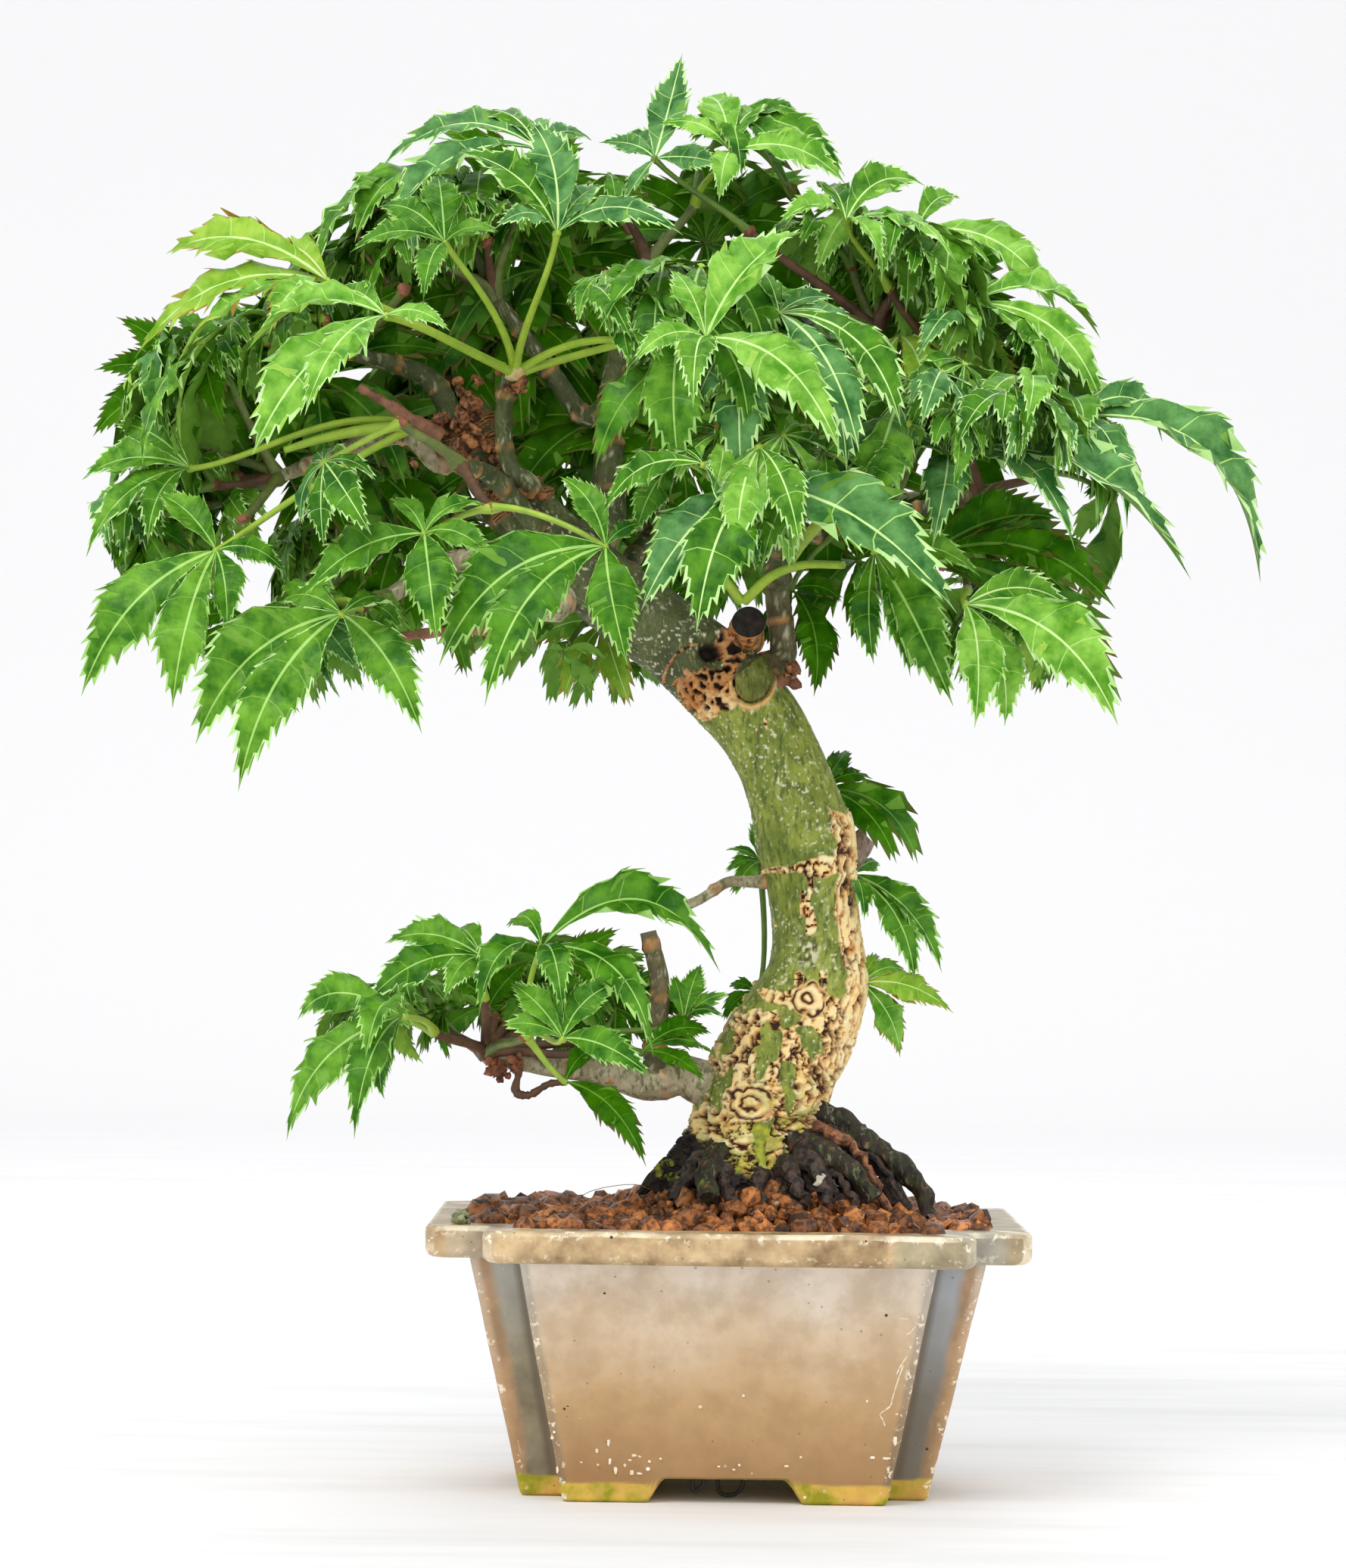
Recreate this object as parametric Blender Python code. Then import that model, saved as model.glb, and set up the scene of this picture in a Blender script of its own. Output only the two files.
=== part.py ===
"""A small maple bonsai in a glazed, footed pot with notched corners, about 25 cm tall.

Sizes are in millimetres up to the last step, where MM turns them into metres.  X runs along
the long side of the pot, -Y is the side the tree faces and Z is up.  Heights are counted from a
level FOOT_DROP above the pot's feet.  At the end the model is moved so that the pot stands at
Z = 0 and its box is centred on the Z axis.

The tree is worked out in three steps.  Limbs are tapering tubes along smooth paths: the trunk
stands on the soil, and each other limb leaves the side of the limb that carries it.  Masses of
leaves are star-shaped solids round a centre: a flattened, uneven ball drawn out to its longest
leaf tips.  Each mass is then cut back by flat planes, half way to every other mass and just
clear of every limb, so that no two pieces touch.
"""

import math

import bmesh
import bpy
import numpy as np

MM = 0.001
GAP = 0.35                   # clearance between pieces that touch on the real object

# ---- pot ----------------------------------------------------------------------------------
FOOT_DROP = 2.3              # the pot's feet stand this far below the level of height zero
RIM_HALF = (50.8, 40.0)      # half length and half depth outside the rim
RIM_NOTCH = 10.0             # side of the square notch in each corner of the rim
RIM_TOP = 44.2
RIM_BOTTOM = 38.7
RIM_WIDTH = 7.0              # across the flat top of the rim
RIM_INNER_NOTCH = 9.4        # side of the notch round the mouth
BODY_TOP_HALF = (43.5, 33.5)
BODY_TOP_NOTCH = 8.65
FOOT_HALF = (34.5, 24.5)
FOOT_NOTCH = 7.2
WALL = 4.5
FLOOR_TOP = 7.2              # inside floor of the pot
CORNER = 1.0                 # chamfer on each upright edge
RIM_EDGE = 0.7               # chamfer round the rim
FOOT_HEIGHT = 4.1
FOOT_THICKNESS = 6.0
UNDERSIDE_DEPTH = 4.5        # the recess under the pot goes a little higher than the feet
FRONT_ARCH = (13.5, 10.0)    # half width of the opening between the feet, at floor and top
SIDE_ARCH = (7.5, 5.0)
DRAIN_RADIUS = 4.5
DRAIN_SIDES = 12
CUT_PAST = 2.0               # how far a cut runs past the surface it starts from

# ---- soil ---------------------------------------------------------------------------------
SOIL_EDGE_TOP = 43.0
SOIL_MOUND_TOP = 49.6
MOUND_CENTRE = (3.5, 0.0)
MOUND_FLAT = 17.0            # radius of the flat crest that the trunk stands on
MOUND_STEPS = ((0.0, 0.0), (0.35, 0.28), (0.7, 0.66), (1.0, 1.0))

# ---- tree: limbs --------------------------------------------------------------------------
TRUNK_SIDES = 20
LIMB_SIDES = 14
BOUGH_SIDES = 7
ROOT_SIDES = 8
BARK_UNEVEN = 0.035          # how far the bark strays from round, as a part of the radius
FLARE_FLUTES = 5             # ribs where the roots run into the trunk
FLARE_DEPTH = 0.09
FLARE_TOP = 62.0

# Path of a limb: (x, y, z, radius) of the points that its centre line runs through.
TRUNK = ((3.2, 0.0, SOIL_MOUND_TOP + GAP, 12.8), (3.8, 0.0, 56.0, 10.9), (5.6, 0.5, 63.5, 10.6),
         (8.4, 1.0, 71.0, 10.4), (11.9, 1.5, 78.0, 9.8), (14.7, 1.5, 85.0, 9.0),
         (14.9, 1.0, 91.5, 7.8), (14.3, 0.5, 98.0, 7.5), (13.7, 0.0, 104.5, 8.0),
         (12.5, 0.0, 111.0, 8.4), (10.5, 0.0, 117.5, 7.6), (7.8, 0.0, 124.0, 7.3),
         (4.0, 0.0, 130.5, 7.5), (-1.5, 0.0, 136.8, 7.7))
MAIN_LIMB = ((-9.6, -0.5, 143.7, 7.2), (-18.9, -1.0, 150.1, 6.8), (-28.3, -2.0, 157.9, 6.2),
             (-34.3, -3.0, 163.8, 5.4), (-37.9, -3.0, 168.1, 5.0), (-42.3, -3.0, 172.0, 4.6),
             (-44.7, -3.0, 176.2, 4.3), (-46.8, -3.0, 181.4, 4.3), (-48.2, -3.0, 184.4, 3.9))

# Each bough: the limb that carries it, how far along that limb it leaves (0 to 1), and the
# points it runs through on its way to the mass of leaves where it ends.
BOUGHS = {
    "right_stem": ("trunk", 0.97, ((7.3, 0.0, 154.0, 2.1), (9.9, 0.0, 167.7, 1.9),
                                    (18.0, 0.0, 182.0, 1.6), (24.0, 0.0, 199.0, 1.2))),
    "cut_shoot": ("main_limb", 0.71, ((-39.3, -9.3, 173.5, 1.6), (-40.5, -8.6, 184.2, 1.5),
                                      (-38.8, -9.0, 190.9, 1.9))),
    "bough_apex": ("main_limb", 0.50, ((-22.5, 6.0, 173.0, 2.8), (-22.0, 8.0, 190.0, 2.1),
                                       (-16.0, 4.0, 211.0, 1.2))),
    "bough_top_left": ("bough_apex", 0.45, ((-33.0, 8.0, 192.0, 1.6),
                                            (-43.0, 6.0, 205.0, 1.1))),
    "bough_upper_left": ("main_limb", 0.96, ((-54.0, 6.0, 190.0, 1.8),
                                             (-68.0, 0.0, 194.0, 1.2))),
    "bough_left": ("main_limb", 0.89, ((-56.9, -4.5, 179.3, 2.0), (-68.0, -3.0, 176.5, 1.5),
                                       (-80.0, 1.0, 172.0, 1.1))),
    "bough_left_low": ("main_limb", 0.46, ((-38.0, -6.0, 156.0, 2.2),
                                           (-49.0, -8.0, 157.0, 1.9),
                                           (-60.0, -10.0, 150.5, 1.3))),
    "bough_left_back": ("main_limb", 0.62, ((-46.0, 12.0, 168.0, 1.8),
                                            (-58.0, 24.0, 163.0, 1.2))),
    "bough_front_left": ("main_limb", 0.64, ((-42.0, -16.0, 171.0, 1.6),
                                             (-47.0, -25.0, 172.0, 1.1))),
    "bough_front_upper": ("bough_apex", 0.54, ((-19.0, -4.0, 190.0, 1.5),
                                               (-15.0, -19.0, 193.0, 1.0))),
    "bough_back_upper": ("bough_apex", 0.60, ((-18.0, 16.0, 192.0, 1.4),
                                              (-11.0, 23.0, 195.0, 1.0))),
    "bough_back_left": ("bough_top_left", 0.45, ((-39.0, 15.0, 193.0, 1.2),
                                                 (-45.0, 24.0, 193.0, 0.9))),
    "bough_back_centre": ("main_limb", 0.34, ((-19.0, 16.0, 158.0, 1.9),
                                              (-15.0, 33.0, 166.0, 1.2))),
    "bough_right": ("right_stem", 0.40, ((24.0, -1.0, 166.0, 1.5), (42.0, -4.0, 170.0, 1.1))),
    "bough_right_low": ("bough_right", 0.55, ((35.0, 1.0, 161.0, 1.1),
                                              (41.0, 3.0, 157.5, 0.9))),
    "bough_upper_right": ("right_stem", 0.72, ((30.0, 2.0, 187.0, 1.3),
                                               (37.0, 2.0, 190.5, 1.0))),
    "bough_front_centre": ("right_stem", 0.25, ((7.0, -16.0, 161.0, 1.5),
                                                (3.0, -31.0, 166.0, 1.1))),
    "bough_front_right": ("right_stem", 0.50, ((20.0, -12.0, 175.0, 1.3),
                                               (30.0, -20.0, 178.0, 1.0))),
    "bough_right_back": ("right_stem", 0.47, ((19.0, 14.0, 172.0, 1.4),
                                              (33.0, 26.0, 172.0, 1.0))),
    "low_bough": ("trunk", 0.175, ((-13.8, -1.5, 69.0, 3.0), (-22.0, -3.0, 70.6, 2.2),
                                   (-32.0, -4.5, 70.8, 1.7), (-42.0, -6.0, 73.0, 1.2))),
    "low_upright": ("low_bough", 0.20, ((-12.2, -1.0, 84.3, 1.7), (-14.4, -1.0, 93.5, 1.4))),
    "thin_twig": ("trunk", 0.60, ((-0.6, -0.5, 102.3, 0.9), (-4.5, -1.0, 99.8, 0.8))),
}

# Exposed roots: start on the flare of the trunk, end on the soil.
ROOTS = {
    "root_right_arch": ((16.6, -2.5, 63.0, 3.0), (24.4, -4.0, 60.8, 2.6), (31.0, -6.0, 54.6, 2.2),
                        (35.4, -7.0, 47.2, 1.7)),
    "root_right_inner": ((15.2, -9.6, 57.0, 2.2), (20.5, -12.0, 54.5, 1.9),
                         (25.0, -13.5, 48.9, 1.5)),
    "root_front": ((-2.6, -13.2, 55.6, 2.3), (-3.8, -17.5, 53.0, 2.0), (-3.2, -20.5, 49.6, 1.6)),
    "root_left": ((-11.0, -3.0, 55.8, 2.1), (-15.0, -4.0, 53.2, 1.8), (-18.0, -5.0, 49.8, 1.5)),
    "root_back": ((7.0, 13.6, 55.6, 2.2), (8.0, 17.5, 53.2, 1.9), (9.0, 20.5, 49.6, 1.5)),
}

# ---- tree: masses of leaves ---------------------------------------------------------------
# Each mass: centre, radii (along X, along the third axis, through its thickness), the
# direction its thickness faces, and its longest leaf tips.
UP = (0.0, 0.0, 1.0)
MASSES = {
    "crown_apex": ((-12.0, 2.0, 226.0), (24.0, 25.0, 12.0), UP,
                   ((-13.7, 0.0, 245.9), (2.4, 5.0, 237.1), (-26.5, -10.0, 231.4),
                    (-8.0, 27.0, 223.0), (-14.0, -25.0, 222.0))),
    "crown_top_left": ((-52.0, 4.0, 218.0), (24.0, 25.0, 12.0), (-0.3, 0.0, 1.0),
                       ((-45.5, 8.0, 237.6), (-62.9, 0.0, 226.7), (-68.0, 0.0, 217.5),
                        (-54.0, -24.0, 210.0), (-50.0, 29.0, 214.0))),
    "crown_top_right": ((26.0, 1.0, 213.0), (23.0, 25.0, 11.0), (0.15, 0.0, 1.0),
                        ((17.0, 0.0, 223.9), (30.0, 8.0, 225.3), (38.0, 0.0, 221.0),
                         (27.0, -24.0, 206.0), (26.0, 28.0, 207.0))),
    "crown_upper_right": ((46.0, 2.0, 194.0), (21.0, 26.0, 12.0), (0.6, 0.0, 0.8),
                          ((50.0, 0.0, 215.0), (54.5, -5.0, 203.3), (62.9, 0.0, 197.5),
                           (50.0, -24.0, 189.0), (48.0, 27.0, 188.0))),
    "crown_upper_left": ((-84.0, 0.0, 197.0), (23.0, 25.0, 12.0), (-0.4, 0.0, 1.0),
                         ((-77.0, 0.0, 214.0), (-95.0, 0.0, 214.4), (-101.5, 5.0, 209.1),
                          (-107.2, 0.0, 191.1), (-84.0, -26.0, 188.0), (-80.0, 25.0, 191.0))),
    "crown_left": ((-97.0, 2.0, 166.0), (14.0, 25.0, 19.0), (-0.5, 0.0, 1.0),
                   ((-114.8, 0.0, 168.6), (-109.0, 10.0, 181.6), (-112.4, -5.0, 133.4),
                    (-100.1, 8.0, 132.2), (-100.0, 28.0, 150.0))),
    "crown_left_low": ((-74.0, -12.0, 144.0), (22.0, 22.0, 12.0), (-0.2, -0.3, 1.0),
                       ((-91.2, -18.0, 124.8), (-84.4, -20.0, 116.4), (-53.4, -15.0, 127.3),
                        (-70.0, -34.0, 130.0))),
    "crown_left_back": ((-70.0, 35.0, 160.0), (25.0, 20.0, 15.0), (-0.2, 0.8, 0.5),
                        ((-84.0, 50.0, 132.0), (-62.0, 58.0, 140.0), (-94.0, 44.0, 150.0))),
    "crown_front_left": ((-53.0, -40.0, 172.0), (26.0, 18.0, 14.0), (0.0, -0.8, 0.5),
                         ((-70.0, -54.0, 146.0), (-36.0, -57.0, 146.0), (-78.0, -44.0, 166.0))),
    "crown_front_upper": ((-12.0, -36.0, 196.0), (28.0, 17.0, 13.0), (0.0, -0.7, 0.7),
                          ((-28.0, -55.0, 180.0), (8.0, -55.0, 188.0), (-37.0, -38.0, 195.0))),
    "crown_front_centre": ((2.0, -47.0, 167.0), (24.0, 17.0, 12.0), (0.0, -0.8, 0.5),
                           ((-6.6, -54.0, 143.3), (-18.4, -50.0, 147.2), (28.0, -48.0, 147.0),
                            (4.0, -66.0, 158.0))),
    "crown_front_right": ((39.0, -34.0, 180.0), (22.0, 17.0, 13.0), (0.2, -0.8, 0.6),
                          ((31.0, -50.0, 158.0), (52.0, -52.0, 163.0), (62.0, -30.0, 176.0))),
    "crown_right": ((64.0, -3.0, 169.0), (23.0, 24.0, 11.0), (0.35, 0.0, 1.0),
                    ((73.0, 0.0, 183.1), (82.3, 0.0, 175.3), (90.3, -10.0, 155.3),
                     (77.6, -15.0, 154.5), (74.0, 22.0, 156.0))),
    "crown_right_low": ((47.0, 5.0, 148.0), (20.0, 22.0, 11.0), (0.1, 0.0, 1.0),
                        ((67.1, 0.0, 134.5), (47.3, 0.0, 130.0), (37.4, 2.0, 133.0),
                         (25.4, 0.0, 141.5), (50.0, -22.0, 134.0), (48.0, 28.0, 133.0))),
    "crown_right_back": ((45.0, 42.0, 172.0), (25.0, 18.0, 14.0), (0.2, 0.8, 0.5),
                         ((60.0, 58.0, 150.0), (34.0, 63.0, 146.0), (72.0, 40.0, 162.0))),
    "crown_back_upper": ((-6.0, 38.0, 197.0), (28.0, 17.0, 13.0), (0.0, 0.7, 0.7),
                         ((8.0, 57.0, 186.0), (-20.0, 57.0, 188.0), (21.0, 42.0, 195.0))),
    "crown_back_left": ((-50.0, 37.0, 195.0), (24.0, 17.0, 12.0), (-0.2, 0.7, 0.7),
                        ((-60.0, 56.0, 178.0), (-72.0, 42.0, 190.0))),
    "crown_back_centre": ((-14.0, 50.0, 166.0), (26.0, 17.0, 13.0), (0.0, 0.8, 0.5),
                          ((2.0, 64.0, 144.0), (-28.0, 62.0, 142.0), (-12.0, 66.0, 156.0))),
    "crown_low_centre": ((-31.0, 16.0, 142.0), (20.0, 17.0, 9.0), UP,
                         ((-18.0, 8.0, 133.8), (-29.2, 4.0, 133.2), (-41.6, 2.0, 132.5),
                          (-32.0, 35.0, 131.0))),
    "low_outer": ((-58.0, -8.0, 79.0), (16.0, 17.0, 9.0), (-0.25, 0.0, 1.0),
                  ((-75.3, -15.0, 56.8), (-64.2, -12.0, 57.1), (-58.7, -5.0, 90.9),
                   (-52.0, 10.0, 66.0), (-74.0, 2.0, 70.0))),
    "low_inner": ((-27.0, -13.0, 84.0), (19.0, 14.0, 11.0), (0.0, -0.3, 1.0),
                  ((-1.8, -20.0, 87.4), (-13.8, -20.0, 70.5), (-16.0, -6.0, 100.0),
                   (-40.0, -26.0, 74.0))),
    "low_back": ((-32.0, 15.0, 83.0), (20.0, 13.0, 10.0), (0.0, 0.3, 1.0),
                 ((-48.0, 28.0, 68.0), (-22.0, 30.0, 70.0), (-13.0, 18.0, 80.0))),
    "side_upper": ((24.0, 14.0, 117.0), (8.0, 10.0, 8.0), UP,
                   ((31.0, 15.0, 106.7), (26.7, 20.0, 107.4), (21.0, 15.0, 126.1))),
    "side_middle": ((30.0, 14.0, 97.5), (9.0, 10.0, 8.0), UP,
                    ((37.8, 18.0, 87.5), (33.7, 16.0, 86.6), (24.0, 24.0, 92.0))),
    "side_lower": ((32.0, 13.0, 78.5), (8.0, 9.0, 6.0), UP,
                   ((40.4, 14.0, 79.5), (30.4, 14.0, 70.6), (28.0, 24.0, 74.0))),
    "trunk_left": ((-1.5, 13.0, 110.5), (7.0, 8.0, 7.0), UP,
                   ((-1.5, 14.0, 118.0), (-2.0, 16.0, 102.0))),
}
MASS_POINTS = 76             # points spread over each mass, besides its leaf tips
SMALL_MASS_POINTS = 44
SMALL_MASS = 11.0            # a mass is small if its longest radius is under this
UNEVEN = 0.20                # size of the swells on a mass, as a part of its radius
SWELL_WAVES = 4
SWELL_RATE = 2.2
ROUGHNESS = 0.05             # random change at each point
TIP_SPREAD = 0.30            # half width, in radians, of the taper towards a leaf tip
TIP_CLEAR = 0.16             # no other point lies this close to a leaf tip, in radians
SEED = 11

# name: base colour, roughness
FINISHES = {
    "glaze": ((0.42, 0.33, 0.23), 0.35),
    "soil": ((0.27, 0.12, 0.06), 0.95),
    "bark": ((0.23, 0.24, 0.11), 0.75),
    "young_bark": ((0.27, 0.30, 0.16), 0.70),
    "root": ((0.06, 0.035, 0.03), 0.90),
    "leaf": ((0.07, 0.22, 0.06), 0.60),
}


def finish(name):
    """The material of that finish, made the first time it is asked for."""
    material = bpy.data.materials.get(name)
    if material is None:
        colour, roughness = FINISHES[name]
        material = bpy.data.materials.new(name)
        material.use_nodes = True
        shader = material.node_tree.nodes["Principled BSDF"]
        shader.inputs["Base Color"].default_value = (*colour, 1.0)
        shader.inputs["Roughness"].default_value = roughness
        shader.inputs["Metallic"].default_value = 0.0
    return material


def add_piece(name, points, faces, origin, finish_name, sharp_degrees=None):
    """A mesh object from points in mm, with its own origin; smooth below the sharp angle."""
    origin = np.asarray(origin, dtype=float)
    mesh = bpy.data.meshes.new(name)
    local = (np.asarray(points, dtype=float) - origin) * MM
    mesh.from_pydata(local.tolist(), [], faces)
    mesh.materials.append(finish(finish_name))
    if sharp_degrees is not None:
        mesh.shade_smooth()
        mesh.set_sharp_from_angle(angle=math.radians(sharp_degrees))
    piece = bpy.data.objects.new(name, mesh)
    piece.location = tuple(origin * MM)
    bpy.context.scene.collection.objects.link(piece)
    return piece


def add_cutter(name, points, faces):
    """A guide solid for a Boolean, left out of the model itself."""
    cutter = add_piece(name, points, faces, (0.0, 0.0, 0.0), "glaze")
    cutter.hide_render = True
    cutter.display_type = "WIRE"
    return cutter


def cut(piece, cutter):
    """Cut the cutter's volume out of the piece."""
    modifier = piece.modifiers.new(cutter.name, "BOOLEAN")
    modifier.operation = "DIFFERENCE"
    modifier.solver = "EXACT"
    modifier.object = cutter


# ---- lofts and prisms ---------------------------------------------------------------------

def loft(rings):
    """Join rings of equally many points, bottom to top, and close both ends with a fan."""
    rings = np.asarray(rings, dtype=float)
    count, sides, _ = rings.shape
    points = np.concatenate([rings.reshape(-1, 3), rings[:1].mean(axis=1), rings[-1:].mean(axis=1)])
    foot, head = count * sides, count * sides + 1
    faces = []
    for k in range(sides):
        after = (k + 1) % sides
        for r in range(count - 1):
            faces.append((r * sides + k, r * sides + after,
                          (r + 1) * sides + after, (r + 1) * sides + k))
        faces.append((foot, after, k))
        faces.append((head, (count - 1) * sides + k, (count - 1) * sides + after))
    return points, faces


def notched_outline(half, notch, chamfer):
    """A rectangle with a square notch in each corner and each upright edge chamfered."""
    length, depth = half
    quarter = ((length, depth - notch), (length - notch, depth - notch), (length - notch, depth))
    corners = []
    for turn in range(4):
        signs = ((1, 1), (-1, 1), (-1, -1), (1, -1))[turn]
        ordered = quarter if turn % 2 == 0 else quarter[::-1]
        corners.extend((signs[0] * x, signs[1] * y) for x, y in ordered)
    corners = np.array(corners)
    before = np.roll(corners, 1, axis=0) - corners
    after = np.roll(corners, -1, axis=0) - corners
    before = before / np.linalg.norm(before, axis=1, keepdims=True)
    after = after / np.linalg.norm(after, axis=1, keepdims=True)
    pair = np.stack([corners + chamfer * before, corners + chamfer * after], axis=1)
    return pair.reshape(-1, 2)


def notched_ring(half, notch, height):
    """The notched outline as a level ring at one height."""
    outline = notched_outline(half, notch, CORNER)
    return np.column_stack([outline, np.full(len(outline), height)])


def inset(half, amount):
    """Half sizes taken in by the same amount on both axes."""
    return (half[0] - amount, half[1] - amount)


def arch_prism(half_floor, half_top, height, reach, along_y):
    """The opening between two feet: a trapezium carried right under the pot."""
    floor, under, top = -FOOT_DROP, -FOOT_DROP - CUT_PAST, -FOOT_DROP + height
    profile = ((-half_floor, under), (half_floor, under), (half_floor, floor),
               (half_top, top), (-half_top, top), (-half_floor, floor))
    rings = []
    for end in (-reach, reach):
        if along_y:
            rings.append([(across, -end, up) for across, up in profile])
        else:
            rings.append([(end, across, up) for across, up in profile])
    return loft(rings)


def wall_at(height, inwards):
    """Half sizes and notch of the pot's tapering wall at a height, taken in from outside."""
    part = (height + FOOT_DROP) / (RIM_BOTTOM + FOOT_DROP)
    half = tuple(foot + (top - foot) * part for foot, top in zip(FOOT_HALF, BODY_TOP_HALF))
    notch = FOOT_NOTCH + (BODY_TOP_NOTCH - FOOT_NOTCH) * part
    return inset(half, inwards), notch


def make_pot():
    """The pot: tapering wall, jutting rim, hollow inside, four corner feet, drain hole."""
    rings = [
        notched_ring(*wall_at(-FOOT_DROP, 0.0), -FOOT_DROP),
        notched_ring(*wall_at(RIM_BOTTOM - RIM_EDGE, 0.0), RIM_BOTTOM - RIM_EDGE),
        notched_ring(inset(RIM_HALF, RIM_EDGE), RIM_NOTCH, RIM_BOTTOM),
        notched_ring(RIM_HALF, RIM_NOTCH, RIM_BOTTOM + RIM_EDGE),
        notched_ring(RIM_HALF, RIM_NOTCH, RIM_TOP - RIM_EDGE),
        notched_ring(inset(RIM_HALF, RIM_EDGE), RIM_NOTCH, RIM_TOP),
        notched_ring(inset(RIM_HALF, RIM_WIDTH), RIM_INNER_NOTCH, RIM_TOP),
        notched_ring(inset(RIM_HALF, RIM_WIDTH + RIM_EDGE), RIM_INNER_NOTCH, RIM_TOP - RIM_EDGE),
        notched_ring(*wall_at(RIM_BOTTOM, WALL), RIM_BOTTOM),
        notched_ring(*wall_at(FLOOR_TOP, WALL), FLOOR_TOP),
    ]
    points, faces = loft(rings)
    pot = add_piece("pot", points, faces, (0.0, 0.0, 0.0), "glaze")

    recess_half = inset(FOOT_HALF, FOOT_THICKNESS)
    cutters = [
        ("cut_underside", loft([notched_ring(recess_half, FOOT_NOTCH, height)
                                for height in (-FOOT_DROP - CUT_PAST,
                                               -FOOT_DROP + UNDERSIDE_DEPTH)])),
        ("cut_front_arch", arch_prism(*FRONT_ARCH, FOOT_HEIGHT, RIM_HALF[1], True)),
        ("cut_side_arch", arch_prism(*SIDE_ARCH, FOOT_HEIGHT, RIM_HALF[0], False)),
        ("cut_drain", loft([circle_ring(DRAIN_RADIUS, height, DRAIN_SIDES)
                            for height in (-FOOT_DROP - CUT_PAST, FLOOR_TOP + CUT_PAST)])),
    ]
    guides = []
    for name, (points, faces) in cutters:
        guides.append(add_cutter(name, points, faces))
        cut(pot, guides[-1])
    return pot, guides


def circle_ring(radius, height, sides):
    """A level circle of points round the Z axis."""
    angle = np.arange(sides) * 2.0 * math.pi / sides
    return np.column_stack([radius * np.cos(angle), radius * np.sin(angle),
                            np.full(sides, height)])


def make_soil():
    """Soil that fills the pot and rises to a low mound with a flat crest under the trunk."""
    rings = [notched_ring(*wall_at(FLOOR_TOP, WALL + GAP), FLOOR_TOP + GAP),
             notched_ring(*wall_at(RIM_BOTTOM, WALL + GAP), RIM_BOTTOM)]
    edge_half = inset(RIM_HALF, RIM_WIDTH + RIM_EDGE + 3 * GAP)
    edge = notched_ring(edge_half, RIM_INNER_NOTCH, SOIL_EDGE_TOP)
    out = edge[:, :2] - np.array(MOUND_CENTRE)
    out = out / np.linalg.norm(out, axis=1, keepdims=True)
    crest = np.array(MOUND_CENTRE) + MOUND_FLAT * out
    for inward, rise in MOUND_STEPS:
        level = edge[:, :2] + (crest - edge[:, :2]) * inward
        height = SOIL_EDGE_TOP + (SOIL_MOUND_TOP - SOIL_EDGE_TOP) * rise
        rings.append(np.column_stack([level, np.full(len(level), height)]))
    points, faces = loft(rings)
    return add_piece("soil", points, faces, (0.0, 0.0, FLOOR_TOP), "soil")


# ---- limbs --------------------------------------------------------------------------------

def smooth_path(points, steps):
    """A centripetal Catmull-Rom curve through the points, a few steps between each pair."""
    points = np.asarray(points, dtype=float)
    padded = np.vstack([2 * points[0] - points[1], points, 2 * points[-1] - points[-2]])
    gaps = np.sqrt(np.linalg.norm(np.diff(padded[:, :3], axis=0), axis=1))
    knots = np.concatenate([[0.0], np.cumsum(gaps)])

    def blend(first, last, start, end, t):
        """Straight-line blend of two rows of points between two knots."""
        return (first * (end - t) + last * (t - start)) / (end - start)

    spans = []
    for k in range(len(points) - 1):
        k0, k1, k2, k3 = knots[k:k + 4]
        t = (k1 + (k2 - k1) * np.arange(steps) / steps)[:, None]
        a = blend(padded[k], padded[k + 1], k0, k1, t)
        b = blend(padded[k + 1], padded[k + 2], k1, k2, t)
        c = blend(padded[k + 2], padded[k + 3], k2, k3, t)
        spans.append(blend(blend(a, b, k0, k2, t), blend(b, c, k1, k3, t), k1, k2, t))
    spans.append(points[-1:])
    return np.vstack(spans)


def unit(vector):
    """The vector at length one."""
    vector = np.asarray(vector, dtype=float)
    return vector / np.linalg.norm(vector)


def tangents(path):
    """Unit direction of a path at each of its points."""
    step = np.gradient(path[:, :3], axis=0)
    return step / np.linalg.norm(step, axis=1, keepdims=True)


def cross_frames(path):
    """Two unit vectors square to the path at each point, carried along it without twist."""
    along = tangents(path)
    side = np.cross(along[0], (0.0, 1.0, 0.0))
    if np.linalg.norm(side) < 0.1:
        side = np.cross(along[0], (1.0, 0.0, 0.0))
    sides = []
    for direction in along:
        side = side - np.dot(side, direction) * direction
        side = side / np.linalg.norm(side)
        sides.append(side)
    sides = np.array(sides)
    return sides, np.cross(along, sides)


def bark_swell(angle, height, phase):
    """Slow swells round and along a limb, as a part of its radius."""
    return BARK_UNEVEN * (0.6 * np.sin(2 * angle + 0.11 * height + phase)
                          + 0.4 * np.sin(3 * angle - 0.17 * height + 2 * phase))


def flare_flutes(angle, height):
    """Ribs of the root flare, deepest at the soil and gone at FLARE_TOP."""
    fade = np.clip((FLARE_TOP - height) / (FLARE_TOP - SOIL_MOUND_TOP), 0.0, 1.0)
    return FLARE_DEPTH * fade * np.sin(FLARE_FLUTES * angle)


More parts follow.
